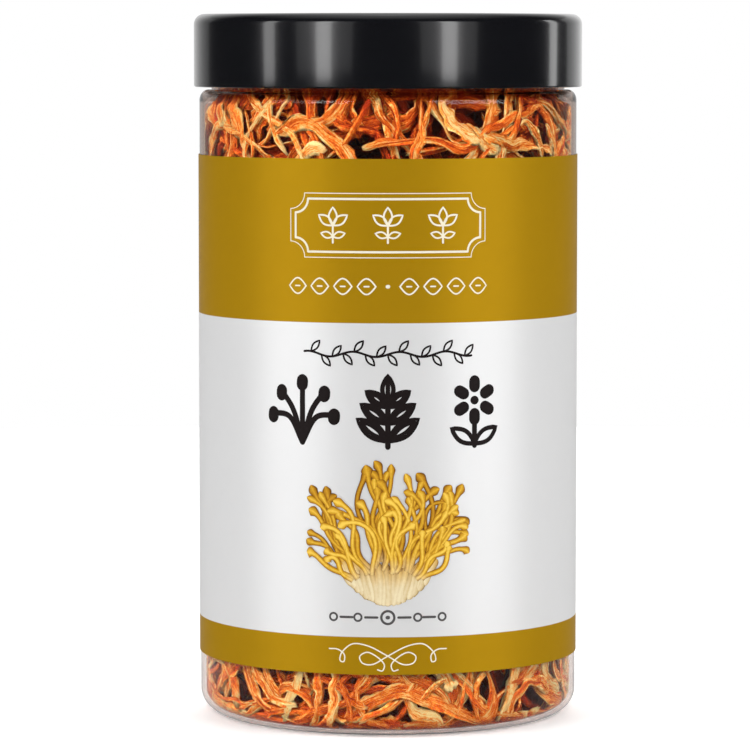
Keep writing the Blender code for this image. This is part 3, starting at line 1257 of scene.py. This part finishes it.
    def build(self) -> None:
        """Builds the film and everything printed on it."""
        self.build_film(PrintedFilm(self.white_low, self.white_top).make())
        cream = Ink("cream_ink", (0.87, 0.80, 0.62)).make()
        black = Ink("black_ink", (0.012, 0.008, 0.008)).make()
        grey = Ink("grey_ink", (0.085, 0.08, 0.08)).make()
        self.draw("label_cartouche", self.cartouche(), cream)
        self.draw("label_lozenges", self.lozenge_row(), cream)
        self.draw("label_vine", self.vine(), black)
        self.draw("label_emblems", self.emblems(), black)
        picture = Bunch().build()
        self.wrap(picture, self.inner_r + self.thick)
        ride_as(picture, "jar", "printed_film", PictureInk().make())
        self.draw("label_dashes", self.dashes(), grey)
        self.draw("label_flourish", self.flourish(), cream)


# ---------------------------------------------------------------- strands


def smooth_through(chains: np.ndarray, count: int) -> np.ndarray:
    """Points along smooth curves that pass through the points of each chain.

    Args:
        chains: Chains, points and coordinates.
        count: Points wanted on each curve.

    Returns:
        An array of the same kind with count points a chain.
    """
    first = 2 * chains[:, :1] - chains[:, 1:2]
    last = 2 * chains[:, -1:] - chains[:, -2:-1]
    held = np.concatenate([first, chains, last], axis=1)
    place = np.linspace(0.0, chains.shape[1] - 1 - 1e-9, count)
    index = place.astype(int)
    part = (place - index)[None, :, None]
    a, b, c, d = (held[:, index + shift] for shift in range(4))
    bend = (2 * a - 5 * b + 4 * c - d) * part**2 + (3 * b - a - 3 * c + d) * part**3
    return 0.5 * (2 * b + (c - a) * part + bend)


def loft(name: str, rings: np.ndarray, marks: dict[str, np.ndarray]) -> bpy.types.Object:
    """Joins tubes, each a row of rings, in one mesh with closed ends.

    Args:
        name: The piece's name.
        rings: Tubes, rings, points of a ring and coordinates, in metres.
        marks: Attribute name to its numbers on the points, or vectors with a last axis of 3.

    Returns:
        The piece.
    """
    tubes, long, sides = rings.shape[:3]
    counts = (np.arange(tubes), np.arange(long - 1), np.arange(sides))
    tube, ring_number, side = np.meshgrid(*counts, indexing="ij")
    after = (side + 1) % sides
    row = (tube * long + ring_number) * sides
    quads = np.stack([row + side, row + after, row + sides + after, row + sides + side], axis=-1)
    faces = quads.reshape(-1, 4).tolist()
    for number in range(tubes):
        foot = number * long * sides
        tip = foot + (long - 1) * sides
        faces.append(list(range(foot + sides - 1, foot - 1, -1)))
        faces.append(list(range(tip, tip + sides)))
    mesh = bpy.data.meshes.new(name)
    mesh.from_pydata(rings.reshape(-1, 3).tolist(), [], faces)
    mesh.polygons.foreach_set("use_smooth", [True] * len(mesh.polygons))
    for label, values in marks.items():
        vector = values.ndim == 4
        made = mesh.attributes.new(label, "FLOAT_VECTOR" if vector else "FLOAT", "POINT")
        made.data.foreach_set("vector" if vector else "value", values.astype(np.float32).ravel())
    piece = bpy.data.objects.new(name, mesh)
    bpy.context.scene.collection.objects.link(piece)
    return piece


@dataclass(frozen=True)
class Cavity:
    """The room inside the jar that strands may fill."""

    jar: Jar
    clear: float = 0.15
    top_z: float = 146.0
    below_shoulder: float = 1.5  # how far under the shoulder the room starts to narrow

    @property
    def inner_r(self) -> float:
        """Inside radius of the body."""
        return self.jar.body_r - self.jar.wall

    def hold(self, points: np.ndarray, margin: Union[float, np.ndarray]) -> np.ndarray:
        """Moves points that are too near the wall, neck, heel or floor back inside.

        Args:
            points: Any array whose last axis is a point.
            margin: Distance to keep from the plastic, besides the usual clearance.

        Returns:
            The points, moved.
        """
        gap = self.clear + margin
        jar = self.jar
        flat = np.maximum(np.hypot(points[..., 0], points[..., 1]), 1e-6)
        height = np.minimum(points[..., 2], self.top_z - margin)
        punt = jar.punt_z - (jar.punt_z - jar.punt_edge_z) * np.minimum(flat / jar.punt_r, 1.0) ** 2
        slope = np.clip((jar.ring_in_r - flat) / (jar.ring_in_r - jar.punt_r), 0.0, 1.0)
        punt = np.where(flat > jar.punt_r, slope * jar.punt_edge_z, punt)
        height = np.maximum(height, punt + jar.wall + gap)
        low = jar.shoulder_z - self.below_shoulder
        rise = (height + margin - low) / (jar.neck_z - low)
        body = jar.body_r - jar.wall
        limit = body + (jar.neck_r - jar.neck_wall - body) * np.clip(rise, 0.0, 1.0) - gap
        held = np.minimum(flat, limit)
        centre = jar.body_r - jar.heel_wide
        out = np.maximum(held - centre, 0.0) / (jar.heel_wide - jar.wall - gap)
        down = np.maximum(jar.heel_tall - height, 0.0) / (jar.heel_tall - jar.wall - gap)
        past = np.maximum(np.hypot(out, down), 1.0)
        corner = (out > 0.0) & (down > 0.0)
        held = np.where(corner, centre + (held - centre) / past, held)
        height = np.where(corner, jar.heel_tall - (jar.heel_tall - height) / past, height)
        moved = points * (held / flat)[..., None]
        moved[..., 2] = height
        return moved


class Kind(Enum):
    """What a strand looks like: share of all, half widths, half thicknesses and tone."""

    STALK = (0.50, (0.80, 1.30), (0.42, 0.66), (0.05, 0.80))
    RIBBON = (0.32, (1.30, 2.25), (0.22, 0.36), (0.30, 1.05))
    THREAD = (0.18, (0.42, 0.66), (0.24, 0.36), (0.30, 1.05))

    def __init__(self, share: float, wide: Point, thick: Point, tone: Point) -> None:
        """Names the kind's values: its share, and the ranges of its traits."""
        self.share = share
        self.wide = wide
        self.thick = thick
        self.tone = tone


@dataclass
class Traits:
    """What differs from strand to strand, one number for each strand."""

    wide: np.ndarray
    thick: np.ndarray
    tone: np.ndarray
    club: np.ndarray
    curl: np.ndarray
    frill: np.ndarray
    seed: np.ndarray

    @classmethod
    def draw(cls, count: int, random: np.random.Generator) -> "Traits":
        """Draws the traits of some strands.

        Args:
            count: How many strands there are.
            random: Source of the random draws.

        Returns:
            Their traits.
        """
        kinds = list(Kind)
        picks = random.choice(len(kinds), size=count, p=[kind.share for kind in kinds])

        def within(trait: str) -> np.ndarray:
            """One number a strand, from its kind's range."""
            low, high = np.array([getattr(kinds[pick], trait) for pick in picks]).T
            return low + (high - low) * random.random(count)

        stalk = picks == kinds.index(Kind.STALK)
        ribbon = picks == kinds.index(Kind.RIBBON)
        return cls(
            wide=within("wide"),
            thick=within("thick"),
            tone=within("tone"),
            club=np.where(stalk, random.uniform(0.05, 0.75, count), 0.1),
            curl=np.where(ribbon, 0.55, 0.25) * random.uniform(-1.0, 1.0, count),
            frill=np.where(ribbon, 0.26, 0.10) * random.uniform(0.3, 1.0, count),
            seed=random.uniform(0.0, 400.0, count),
        )


def strand_rings(lines: np.ndarray, traits: Traits, cavity: Cavity, sides: int,
                 random: np.random.Generator) -> tuple[np.ndarray, dict[str, np.ndarray]]:
    """Shapes strands round their centre lines.

    Args:
        lines: Strands, points and coordinates, in millimetres.
        traits: What each strand is like.
        cavity: The room that they must stay in.
        sides: Points round a strand.
        random: Source of the random draws.

    Returns:
        Rings in metres, as loft takes them, and the attributes on their points.
    """
    count, long = lines.shape[:2]

    def each(low: float, high: float) -> np.ndarray:
        """One number a strand, shaped to spread over rings and sides."""
        return random.uniform(low, high, (count, 1, 1))

    def spread(numbers: np.ndarray) -> np.ndarray:
        """A trait, shaped in the same way."""
        return numbers[:, None, None]

    along = np.linspace(0.0, 1.0, long)[None, :, None]
    angle = np.linspace(0.0, math.tau, sides, endpoint=False)[None, None, :]

    def ripple(low: float, high: float, shape: Callable = np.sin) -> np.ndarray:
        """A wave along each strand, which turns by low to high radians in all."""
        return shape(along * each(low, high) + each(0.0, PHASE))

    go = np.gradient(lines, axis=1)
    go /= np.linalg.norm(go, axis=-1, keepdims=True)
    out = lines * np.array([1.0, 1.0, 0.0])
    out /= np.maximum(np.linalg.norm(out, axis=-1, keepdims=True), 1e-6)
    out = out - go * np.sum(out * go, axis=-1, keepdims=True)
    out /= np.maximum(np.linalg.norm(out, axis=-1, keepdims=True), 1e-6)
    side = np.cross(out, go)
    lean = each(-0.5, 0.5) + each(0.2, 1.25) * ripple(2.0, 9.0)
    outward = out * np.cos(lean) + side * np.sin(lean)
    across = np.cross(outward, go)

    club = spread(traits.club) * np.exp(-(((along - 0.87) / 0.085) ** 2))
    ends = np.sqrt(np.clip(1.0 - np.clip((along - 0.955) / 0.045, 0.0, 0.998) ** 2, 0.0, 1.0))
    ends = ends * (0.55 + 0.45 * np.clip(along / 0.03, 0.0, 1.0))

    def edge() -> np.ndarray:
        """Draws how far one edge stands out: unevenly, with a few sharp notches.

        Returns:
            One number a strand and ring, about 1.
        """
        out_by = 1.0 + 0.16 * ripple(6.0, 13.0)
        out_by = out_by + 0.13 * ripple(18.0, 34.0)
        out_by = out_by + 0.09 * ripple(40.0, 66.0)
        notch = np.clip(ripple(12.0, 30.0), 0.0, 1.0) ** 8
        return out_by - each(0.0, 0.4) * notch

    taper = 0.78 + 0.22 * np.sin(math.pi * np.clip(along * 1.3, 0.0, 1.0))
    body = spread(traits.wide) * (taper + club) * ends
    wide = body * np.where(np.cos(angle) > 0.0, edge(), edge())
    thick = spread(traits.thick) * (1.1 + 0.8 * club) * ends
    ridges = 0.19 * np.cos(3.0 * angle + each(0.0, PHASE) + along * each(-6.0, 6.0))
    ridges = ridges + 0.12 * np.cos(5.0 * angle + each(0.0, PHASE) + along * each(-12.0, 12.0))
    pimple = 0.10 * np.sin(along * 190.0 + 4.0 * angle) * np.cos(5.0 * angle - along * 130.0) * club
    shape = 1.0 + ridges + pimple + random.normal(0.0, 0.06, (count, long, sides))
    x = wide * shape * np.cos(angle)
    reach = np.abs(x) / np.maximum(wide, 1e-6)
    rim = reach**2
    fold = each(-0.5, 0.5) * ripple(1.0, 6.0, np.cos)
    curl = spread(traits.curl) * ripple(1.0, 4.0, np.cos)
    left = ripple(18.0, 40.0)
    right = ripple(18.0, 40.0)
    frill = spread(traits.frill) * np.where(x > 0.0, left, right)
    y = thick * shape * np.sin(angle) + body * (curl * (rim - 0.4) + fold * (reach - 0.5) + frill * rim)
    centre = lines[:, :, None, :]
    rings = centre + across[:, :, None, :] * x[..., None] + outward[:, :, None, :] * y[..., None]
    ragged = random.uniform(-0.7, 0.7, (count, sides))
    rings[:, 0] += go[:, :1] * ragged[..., None]
    rings = cavity.hold(rings, np.broadcast_to(each(0.0, 0.2), rings.shape[:3]))

    step = np.linalg.norm(np.diff(lines, axis=1), axis=-1).sum(axis=1)
    fibre = np.empty(rings.shape)
    fibre[..., 0] = along * step[:, None, None]
    fibre[..., 1] = np.cos(angle) * spread(traits.wide) * 1.6 + 0.8 * np.sin(angle)
    fibre[..., 2] = spread(traits.seed)
    torn = 0.8 * np.exp(-along / 0.03)
    # painted shade: how far a point lies inside the outer layer, which darkens its colour
    buried = np.clip((cavity.inner_r - np.hypot(rings[..., 0], rings[..., 1]) - 0.9) / 4.6, 0.0, 1.0)
    shown = rings.shape[:3]
    marks = {
        "fibre": fibre,
        # tone: each strand's own tone, paler torn ends and clubs, and painted shade that darkens points
        # deeper in the filling
        "tone": spread(traits.tone) + torn + 0.25 * club - 1.35 * buried + 0.20,
        # ridge: painted highlight on the ridges and edges of the section, painted shade in its grooves
        "ridge": np.clip(0.40 + 1.6 * ridges + 0.2 * rim**2, 0.0, 1.2),
        "club": np.broadcast_to(np.clip(2.2 * club, 0.0, 1.0), shown),
    }
    return rings * MM, marks


@dataclass
class Filling:
    """All the strands: the named ones, and the many packed among and behind them.

    The outer ones start in a layer near the wall, in three zones of height with a share each. The
    inner ones start within core_r, in zones of their own. Then they settle round the named ones.
    """

    cavity: Cavity
    seed: int = 29
    outer: int = 660
    inner: int = 520
    points: int = 14
    named_rings: int = 60
    named_sides: int = 14
    steps: int = 140
    search_every: int = 10
    search_reach: float = 4.2
    layer_low: float = 33.6
    layer_high: float = 41.2
    gap: float = 0.06
    press: float = 0.014
    press_from: float = 31.0
    sink: float = 0.02
    sink_below: float = 14.0
    core_r: float = 34.0
    lengths: Point = (18.0, 54.0)
    outer_zones: tuple[Point, ...] = ((1.0, 26.0), (26.0, 112.0), (112.0, 146.0))
    outer_shares: tuple[float, ...] = (0.38, 0.22, 0.40)
    inner_zones: tuple[Point, ...] = ((1.0, 7.0), (7.0, 130.0), (130.0, 145.0))
    inner_shares: tuple[float, ...] = (0.40, 0.36, 0.24)
    open_strip: Point = (0.30 * math.pi, 0.70 * math.pi)  # round the label's clear strip, from +X
    band_low: float = 28.0  # the joined meshes are split at these two heights
    band_top: float = 108.0

    def named_lines(self) -> dict[str, np.ndarray]:
        """Reads the centre lines of the named strands from the rings of their solids.

        Returns:
            Name to centre line, foot first, in millimetres.
        """
        lines = {}
        for name, node in sorted(frame["nodes"].items()):
            if name.startswith(("strand_base", "strand_top")):
                lines[name] = self._ring_centres(node)
        return lines

    @staticmethod
    def _ring_centres(node: bpy.types.Object, reach: float = 0.0031) -> np.ndarray:
        """Finds the middles of a solid's rings.

        Args:
            node: The solid, a tube with closed ends.
            reach: A length in metres, between a ring's edges and the distance of two rings.

        Returns:
            The middles, in order from the thick end, in millimetres.
        """
        copy = bmesh.new()
        copy.from_mesh(node.data)
        bmesh.ops.remove_doubles(copy, verts=copy.verts, dist=1e-6)
        ring_of: dict = {}
        rings: list[list] = []
        for vert in copy.verts:
            if vert in ring_of:
                continue
            stack, ring = [vert], []
            ring_of[vert] = len(rings)
            while stack:
                here = stack.pop()
                ring.append(here)
                for edge in here.link_edges:
                    there = edge.other_vert(here)
                    if there not in ring_of and edge.calc_length() < reach:
                        ring_of[there] = len(rings)
                        stack.append(there)
            rings.append(ring)
        near = [{ring_of[e.other_vert(v)] for v in ring for e in v.link_edges} for ring in rings]
        middles = [sum((v.co for v in ring), Vector()) / len(ring) for ring in rings]
        spans = [max((v.co - m).length for v in ring) for ring, m in zip(rings, middles)]
        ends = [i for i, others in enumerate(near) if len(others - {i}) == 1]
        order = [max(ends, key=lambda i: spans[i])]
        while len(order) < len(rings):
            order.append(next(i for i in near[order[-1]] if i not in order))
        centres = np.array([middles[i] for i in order]) / MM
        copy.free()
        return centres

    def start_lines(self, random: np.random.Generator) -> np.ndarray:
        """Draws the centre lines of the unnamed strands before they settle.

        Args:
            random: Source of the random draws.

        Returns:
            Strands, points and coordinates, in millimetres.
        """
        along = np.linspace(-0.5, 0.5, self.points)
        lines = np.empty((self.outer + self.inner, self.points, 3))
        all_round = (0.0, math.tau)
        for number in range(len(lines)):
            long = random.uniform(*self.lengths)
            heading = random.uniform(0.0, math.pi) + np.cumsum(random.normal(0.0, 0.28, self.points))
            heading += random.uniform(-1.8, 1.8) * np.clip(along - 0.2, 0.0, 1.0) * 4.0
            step = long / (self.points - 1)
            around = np.cumsum(np.cos(heading)) * step
            height = np.cumsum(np.sin(heading)) * step
            if number < self.outer:
                middle = random.uniform(self.layer_low, self.layer_high)
                level = random.choice(3, p=self.outer_shares)
                zone = self.outer_zones[level]
                facing = self.open_strip if level == 1 else all_round  # the label hides the rest
            else:
                middle = self.core_r * math.sqrt(random.uniform(0.03, 1.0))
                zone = self.inner_zones[random.choice(3, p=self.inner_shares)]
                facing = all_round
            height += random.uniform(*zone) - height.mean()
            around = (around - around.mean()) / max(middle, 12.0) + random.uniform(*facing)
            swing = np.sin(along * random.uniform(3.0, 8.0) + random.uniform(0.0, PHASE))
            radius = middle + 0.8 * swing
            flat = (radius * np.cos(around), radius * np.sin(around))
            lines[number] = np.stack([*flat, height], axis=-1)
        return lines

    @staticmethod
    def close_pairs(points: np.ndarray, owner: np.ndarray, reach: float) -> Pairs:
        """Finds points of different strands that are near each other.

        Args:
            points: All points, in millimetres.
            owner: Number of the strand that each point is on.
            reach: How near they must be.

        Returns:
            Numbers of each pair's first and second point.
        """
        tree = kdtree.KDTree(len(points))
        for index, point in enumerate(points):
            tree.insert(point, index)
        tree.balance()
        first, second = [], []
        for index, point in enumerate(points):
            for _, other, _ in tree.find_range(point, reach):
                if other > index and owner[other] != owner[index]:
                    first.append(index)
                    second.append(other)
        return np.array(first), np.array(second)

    def push_apart(self, points: np.ndarray, pairs: Pairs, wide: np.ndarray,
                   thick: np.ndarray) -> None:
        """Moves the points of each pair, so that flat strands lie beside or on each other.

        Args:
            points: All points, which are moved in place.
            pairs: Numbers of each pair's first and second point.
            wide: Half width of the strand at each point.
            thick: Half thickness at each point.
        """
        a, b = pairs
        gap = points[a] - points[b]
        out = (points[a] + points[b]) * np.array([1.0, 1.0, 0.0])
        out /= np.maximum(np.linalg.norm(out, axis=-1, keepdims=True), 1e-6)
        depth = np.sum(gap * out, axis=-1)
        beside = gap - out * depth[:, None]
        room_wide = 0.75 * (wide[a] + wide[b])
        room_thick = thick[a] + thick[b] + self.gap
        size = np.hypot(np.linalg.norm(beside, axis=-1) / room_wide, depth / room_thick)
        slope = beside / (room_wide**2)[:, None] + out * (depth / room_thick**2)[:, None]
        slope /= np.maximum(size, 1e-3)[:, None]
        short = np.maximum(1.0 - size, 0.0)
        move = slope * (0.35 * short / np.maximum(np.sum(slope**2, axis=-1), 1e-6))[:, None]
        np.add.at(points, a, move)
        np.add.at(points, b, -move)

    @staticmethod
    def hold_lengths(lines: np.ndarray, step: int, rest: np.ndarray, share: float) -> None:
        """Pulls points of a strand back to their rest distance.

        Args:
            lines: Centre lines, which are changed in place.
            step: How many places apart the points of a pair are.
            rest: Rest distance of each pair.
            share: Share of the difference that is put right.
        """
        for start in range(2 * step):
            first = lines[:, start:-step:2 * step]
            second = lines[:, start + step::2 * step]
            gap = second - first
            length = np.maximum(np.linalg.norm(gap, axis=-1), 1e-9)
            move = gap * (share * (length - rest[:, start::2 * step]) / length / 2)[..., None]
            first += move
            second -= move

    def settle(self, lines: np.ndarray, fixed: int, traits: Traits) -> np.ndarray:
        """Packs the strands so that they lie on each other.

        Args:
            lines: Centre lines, the named ones first.
            fixed: How many named strands there are; they don't move.
            traits: What each strand is like.

        Returns:
            The settled centre lines.
        """
        still = lines[:fixed].copy()
        owner = np.repeat(np.arange(len(lines)), self.points)
        wide = np.repeat(traits.wide, self.points)
        thick = np.repeat(traits.thick, self.points)
        links = np.linalg.norm(lines[:, 1:] - lines[:, :-1], axis=-1)
        bends = np.linalg.norm(lines[:, 3:] - lines[:, :-3], axis=-1)
        margin = np.broadcast_to(traits.thick[:, None], lines.shape[:2])
        for number in range(self.steps):
            reach = np.hypot(lines[..., 0], lines[..., 1])
            outward = 1.0 + self.press * (reach > self.press_from) / np.maximum(reach, 1.0)
            lines[..., :2] *= outward[..., None]
            lines[..., 2] -= self.sink * (lines[..., 2] < self.sink_below)
            flat = lines.reshape(-1, 3)
            if number % self.search_every == 0:
                pairs = self.close_pairs(flat, owner, self.search_reach)
            self.push_apart(flat, pairs, wide, thick)
            self.hold_lengths(lines, 3, bends, 0.35)
            self.hold_lengths(lines, 1, links, 0.9)
            lines = self.cavity.hold(lines, margin)
            lines[:fixed] = still
        return lines

    def build(self, material: bpy.types.Material) -> None:
        """Builds every strand: the named ones one by one, the others in joined meshes.

        Args:
            material: The strands' material.
        """
        random = np.random.default_rng(self.seed)
        named = self.named_lines()
        fixed = len(named)
        kept = smooth_through(np.array(list(named.values())), self.points)
        lines = np.concatenate([kept, self.start_lines(random)])
        traits = Traits.draw(len(lines), random)
        traits.wide[:fixed] = np.clip(traits.wide[:fixed], 0.9, 1.9)
        lines = self.settle(lines, fixed, traits)
        smooth = smooth_through(np.array(list(named.values())), self.named_rings)
        own_traits = self.some(traits, slice(0, fixed))
        rings, marks = strand_rings(smooth, own_traits, self.cavity, self.named_sides, random)
        for number, name in enumerate(named):
            own = {key: value[number:number + 1] for key, value in marks.items()}
            piece = loft(f"{name}_dried", rings[number:number + 1], own)
            ride_as(piece, "jar", "dried_fungus", material, name)
        self.build_rest(lines, fixed, traits, random, material)

    def build_rest(self, lines: np.ndarray, fixed: int, traits: Traits, random: np.random.Generator,
                   material: bpy.types.Material) -> None:
        """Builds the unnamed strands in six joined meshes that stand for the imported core.

        Args:
            lines: Settled centre lines, the named ones first.
            fixed: How many named strands there are.
            traits: What each strand is like.
            random: Source of the random draws.
            material: The strands' material.
        """
        index = np.arange(len(lines))
        height = lines[:, :, 2].mean(axis=1)
        front = lines[:, :, 1].mean(axis=1) < 0.0
        outer = (index >= fixed) & (index < fixed + self.outer)
        low, high = height < self.band_low, height >= self.band_top
        fine, hidden, buried = (44, 10), (24, 8), (16, 7)
        groups = {
            "strands_low_front": (outer & front & low, fine),
            "strands_low_back": (outer & ~front & low, fine),
            "strands_middle": (outer & ~low & ~high, hidden),
            "strands_high_front": (outer & front & high, fine),
            "strands_high_back": (outer & ~front & high, fine),
            "strands_within": (index >= fixed + self.outer, buried),
        }
        for name, (chosen, (long, sides)) in groups.items():
            smooth = smooth_through(lines[chosen], long)
            rings, marks = strand_rings(smooth, self.some(traits, chosen), self.cavity, sides, random)
            ride_as(loft(name, rings, marks), "jar", "dried_fungus", material, "strand_core")

    @staticmethod
    def some(traits: Traits, chosen: object) -> Traits:
        """The traits of some of the strands."""
        return Traits(**{name: values[chosen] for name, values in vars(traits).items()})


# ---------------------------------------------------------------- studio


@dataclass(frozen=True)
class Studio:
    """Camera, pale floor and soft light."""

    distance: float = 943.0
    eye_z: float = 151.0
    aim: Point = (-2.9, 75.8)
    lens: float = 201.6
    floor_r: float = 700.0
    room_up: float = 38.0  # degrees above the floor, of the lamps for everything
    strip_up: float = 14.0  # of the strips that the cap mirrors
    strip_tall: float = 0.62
    sheen_up: float = 10.0  # of the lamps that the label mirrors
    soft_up: float = 36.0  # of the lamps for the jar and the strands

    def build_camera(self) -> None:
        """Places the camera a little above the jar's middle, looking slightly down."""
        bpy.ops.object.camera_add(location=(0.0, -self.distance * MM, self.eye_z * MM))
        camera = bpy.context.active_object
        target = Vector((self.aim[0] * MM, 0.0, self.aim[1] * MM))
        camera.rotation_euler = (target - camera.location).to_track_quat("-Z", "Y").to_euler()
        camera.data.lens = self.lens
        camera.data.sensor_width = 36.0
        camera.data.clip_start = 0.05
        camera.data.clip_end = 20.0
        bpy.context.scene.camera = camera

    def build_floor(self) -> None:
        """Lays a round pale floor."""
        start_clean()
        bpy.ops.mesh.primitive_circle_add(vertices=128, radius=self.floor_r * MM, fill_type="NGON")
        floor = bpy.context.active_object
        floor.name = "floor"
        tree = Surface("pale_floor")
        grain = tree.noise(tree.place(), 30.0, 3.0)
        pale = tree.mix(grain, (0.90, 0.90, 0.90), (0.88, 0.88, 0.88))
        glow = {"Emission_Color": WHITE, "Emission_Strength": 0.34}
        material = tree.dress(Base_Color=pale, Roughness=0.9, Specular_IOR_Level=0.0, **glow)
        floor.data.materials.append(material)
        floor.visible_glossy = False

    def build_light(self) -> None:
        """Sets the surroundings.

        The camera sees white, and rays through the wall see a warm grey. Mirrored and scattered
        rays see a studio that is dark in front and bright behind and above.
        """
        world = bpy.data.worlds.new("studio")
        bpy.context.scene.world = world
        world.use_nodes = True
        tree = Tree(world.node_tree)
        way = tree.add("ShaderNodeTexCoord", {}, {}, "Generated")
        x, y, z = (tree.part(way, axis) for axis in "XYZ")
        turned_to = x.by("ARCTAN2", 0.0 - y) * (180.0 / math.pi)
        up = z.by("ARCSINE") * (180.0 / math.pi)
        behind = turned_to.by("ABSOLUTE").step(122.0, 172.0)
        above = up.step(40.0, 80.0)
        mirrored_back = 1.1 - 0.58 * tree.ray("Is Glossy Ray")
        around = 0.02 + mirrored_back * behind + 0.5 * above
        through = tree.ray("Is Transmission Ray")
        glow = 0.46 * through + around * (1.0 - through)
        seen = tree.ray("Is Camera Ray")
        strength = seen + glow * (1.0 - seen)
        background = world.node_tree.nodes["Background"]
        tree.feed(background.inputs["Strength"], strength)
        tree.feed(background.inputs["Color"], tree.mix(through, WHITE, (1.0, 0.85, 0.76)))
        bpy.context.scene.view_settings.view_transform = "Standard"

    def build_lamp(self, azimuth: float, elevation: float, wide: float, tall: float,
                   radiance: float, away: float = 1.2) -> bpy.types.Object:
        """Hangs a soft light that faces the jar.

        Args:
            azimuth: Degrees from the front towards +X.
            elevation: Degrees above the floor.
            wide: Width in metres.
            tall: Height in metres.
            radiance: How bright its face is, where 1 is the white of the surroundings.
            away: Distance in metres.

        Returns:
            The lamp.
        """
        turned, raised = math.radians(azimuth), math.radians(elevation)
        level = math.cos(raised)
        way = Vector((math.sin(turned) * level, -math.cos(turned) * level, math.sin(raised)))
        bpy.ops.object.light_add(type="AREA", location=way * away)
        lamp = bpy.context.active_object
        lamp.rotation_euler = (-way).to_track_quat("-Z", "Y").to_euler()
        lamp.data.shape = "RECTANGLE"
        lamp.data.size, lamp.data.size_y = wide, tall
        lamp.data.energy = radiance * math.pi * wide * tall
        lamp.visible_camera = False
        return lamp

    def light_pieces(self) -> None:
        """Adds the lamps that light only some pieces.

        The cap mirrors tall strips and the label a broad lamp at each side. The jar and the
        strands, which shade each other behind its wall, get soft light of their own.
        """
        cap = self.collect("cap_pieces", ("cap_shell",))
        label = self.collect("label_pieces", ("label",))
        contents = self.collect("jar_and_strands", ("jar_wall", "strand"))
        strips = [(-72.8, 0.17, 2.6, 1.2), (113.0, 0.17, 2.2, 1.2)]
        strips += [(-155.0, 1.1, 0.12, 1.2), (155.0, 1.1, 0.3, 1.2)]
        for azimuth in (-37.3, 35.7):
            strips += [(azimuth, 0.76, 0.42, 1.24), (azimuth, 0.34, 0.25, 1.2)]
            strips += [(azimuth, 0.19, 3.3, 1.16)]
        for azimuth, wide, radiance, away in strips:
            lamp = self.build_lamp(azimuth, self.strip_up, wide, self.strip_tall, radiance, away)
            lamp.light_linking.receiver_collection = cap
        for azimuth in (-58.0, 58.0):
            lamp = self.build_lamp(azimuth, self.sheen_up, 1.0, 0.9, 1.95)
            lamp.visible_diffuse = False
            lamp.light_linking.receiver_collection = label
        soft = [(-38.0, 0.5, 0.4, 93.0), (55.0, 0.9, 0.7, 9.5), (180.0, 0.9, 0.7, 15.0)]
        for azimuth, wide, tall, radiance in soft:
            lamp = self.build_lamp(azimuth, self.soft_up, wide, tall, radiance)
            lamp.visible_glossy = False
            lamp.light_linking.receiver_collection = contents

    @staticmethod
    def collect(name: str, starts: tuple[str, ...]) -> bpy.types.Collection:
        """Gathers pieces by their names.

        Args:
            name: The collection's name.
            starts: Ways in which a piece's name may start.

        Returns:
            A collection of the pieces whose names start so.
        """
        chosen = bpy.data.collections.new(name)
        for piece in bpy.context.scene.objects:
            if piece.name.startswith(starts) and piece.type == "MESH":
                chosen.objects.link(piece)
        return chosen

    def build(self) -> None:
        """Builds the whole studio."""
        self.build_camera()
        self.build_floor()
        self.build_light()
        for azimuth, radiance in ((-58.0, 4.0), (58.0, 4.1), (180.0, 2.0)):
            lamp = self.build_lamp(azimuth, self.room_up, 0.9, 0.7, radiance)
            lamp.visible_glossy = False


def size(node: str) -> tuple[float, float, float]:
    """Outer radius, lowest and highest point of a CAD node, in millimetres."""
    low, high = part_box(node)
    return high.x / MM, low.z / MM, high.z / MM


def main() -> None:
    """Builds the jar from the studio inwards."""
    logging.basicConfig(level=logging.INFO, format="%(name)s: %(message)s")
    studio = Studio()
    studio.build()
    body_r, _, mouth_z = size("jar")
    jar = Jar(body_r=body_r, mouth_z=mouth_z)
    jar.build(ClearPlastic().make())
    cap_r, cap_low, cap_top = size("cap")
    Cap(radius=cap_r, bottom_z=cap_low, top_z=cap_top).build(GlossBlack().make())
    liner_r, liner_low, liner_top = size("cap_liner")
    Liner(radius=liner_r, low_z=liner_low, top_z=liner_top).build(Foam().make())
    label_r, label_low, label_top = size("label")
    Label(inner_r=label_r - Label.thick, low_z=label_low, top_z=label_top).build()
    Filling(cavity=Cavity(jar)).build(DriedFungus().make())
    studio.light_pieces()


if __name__ == "__main__":
    main()
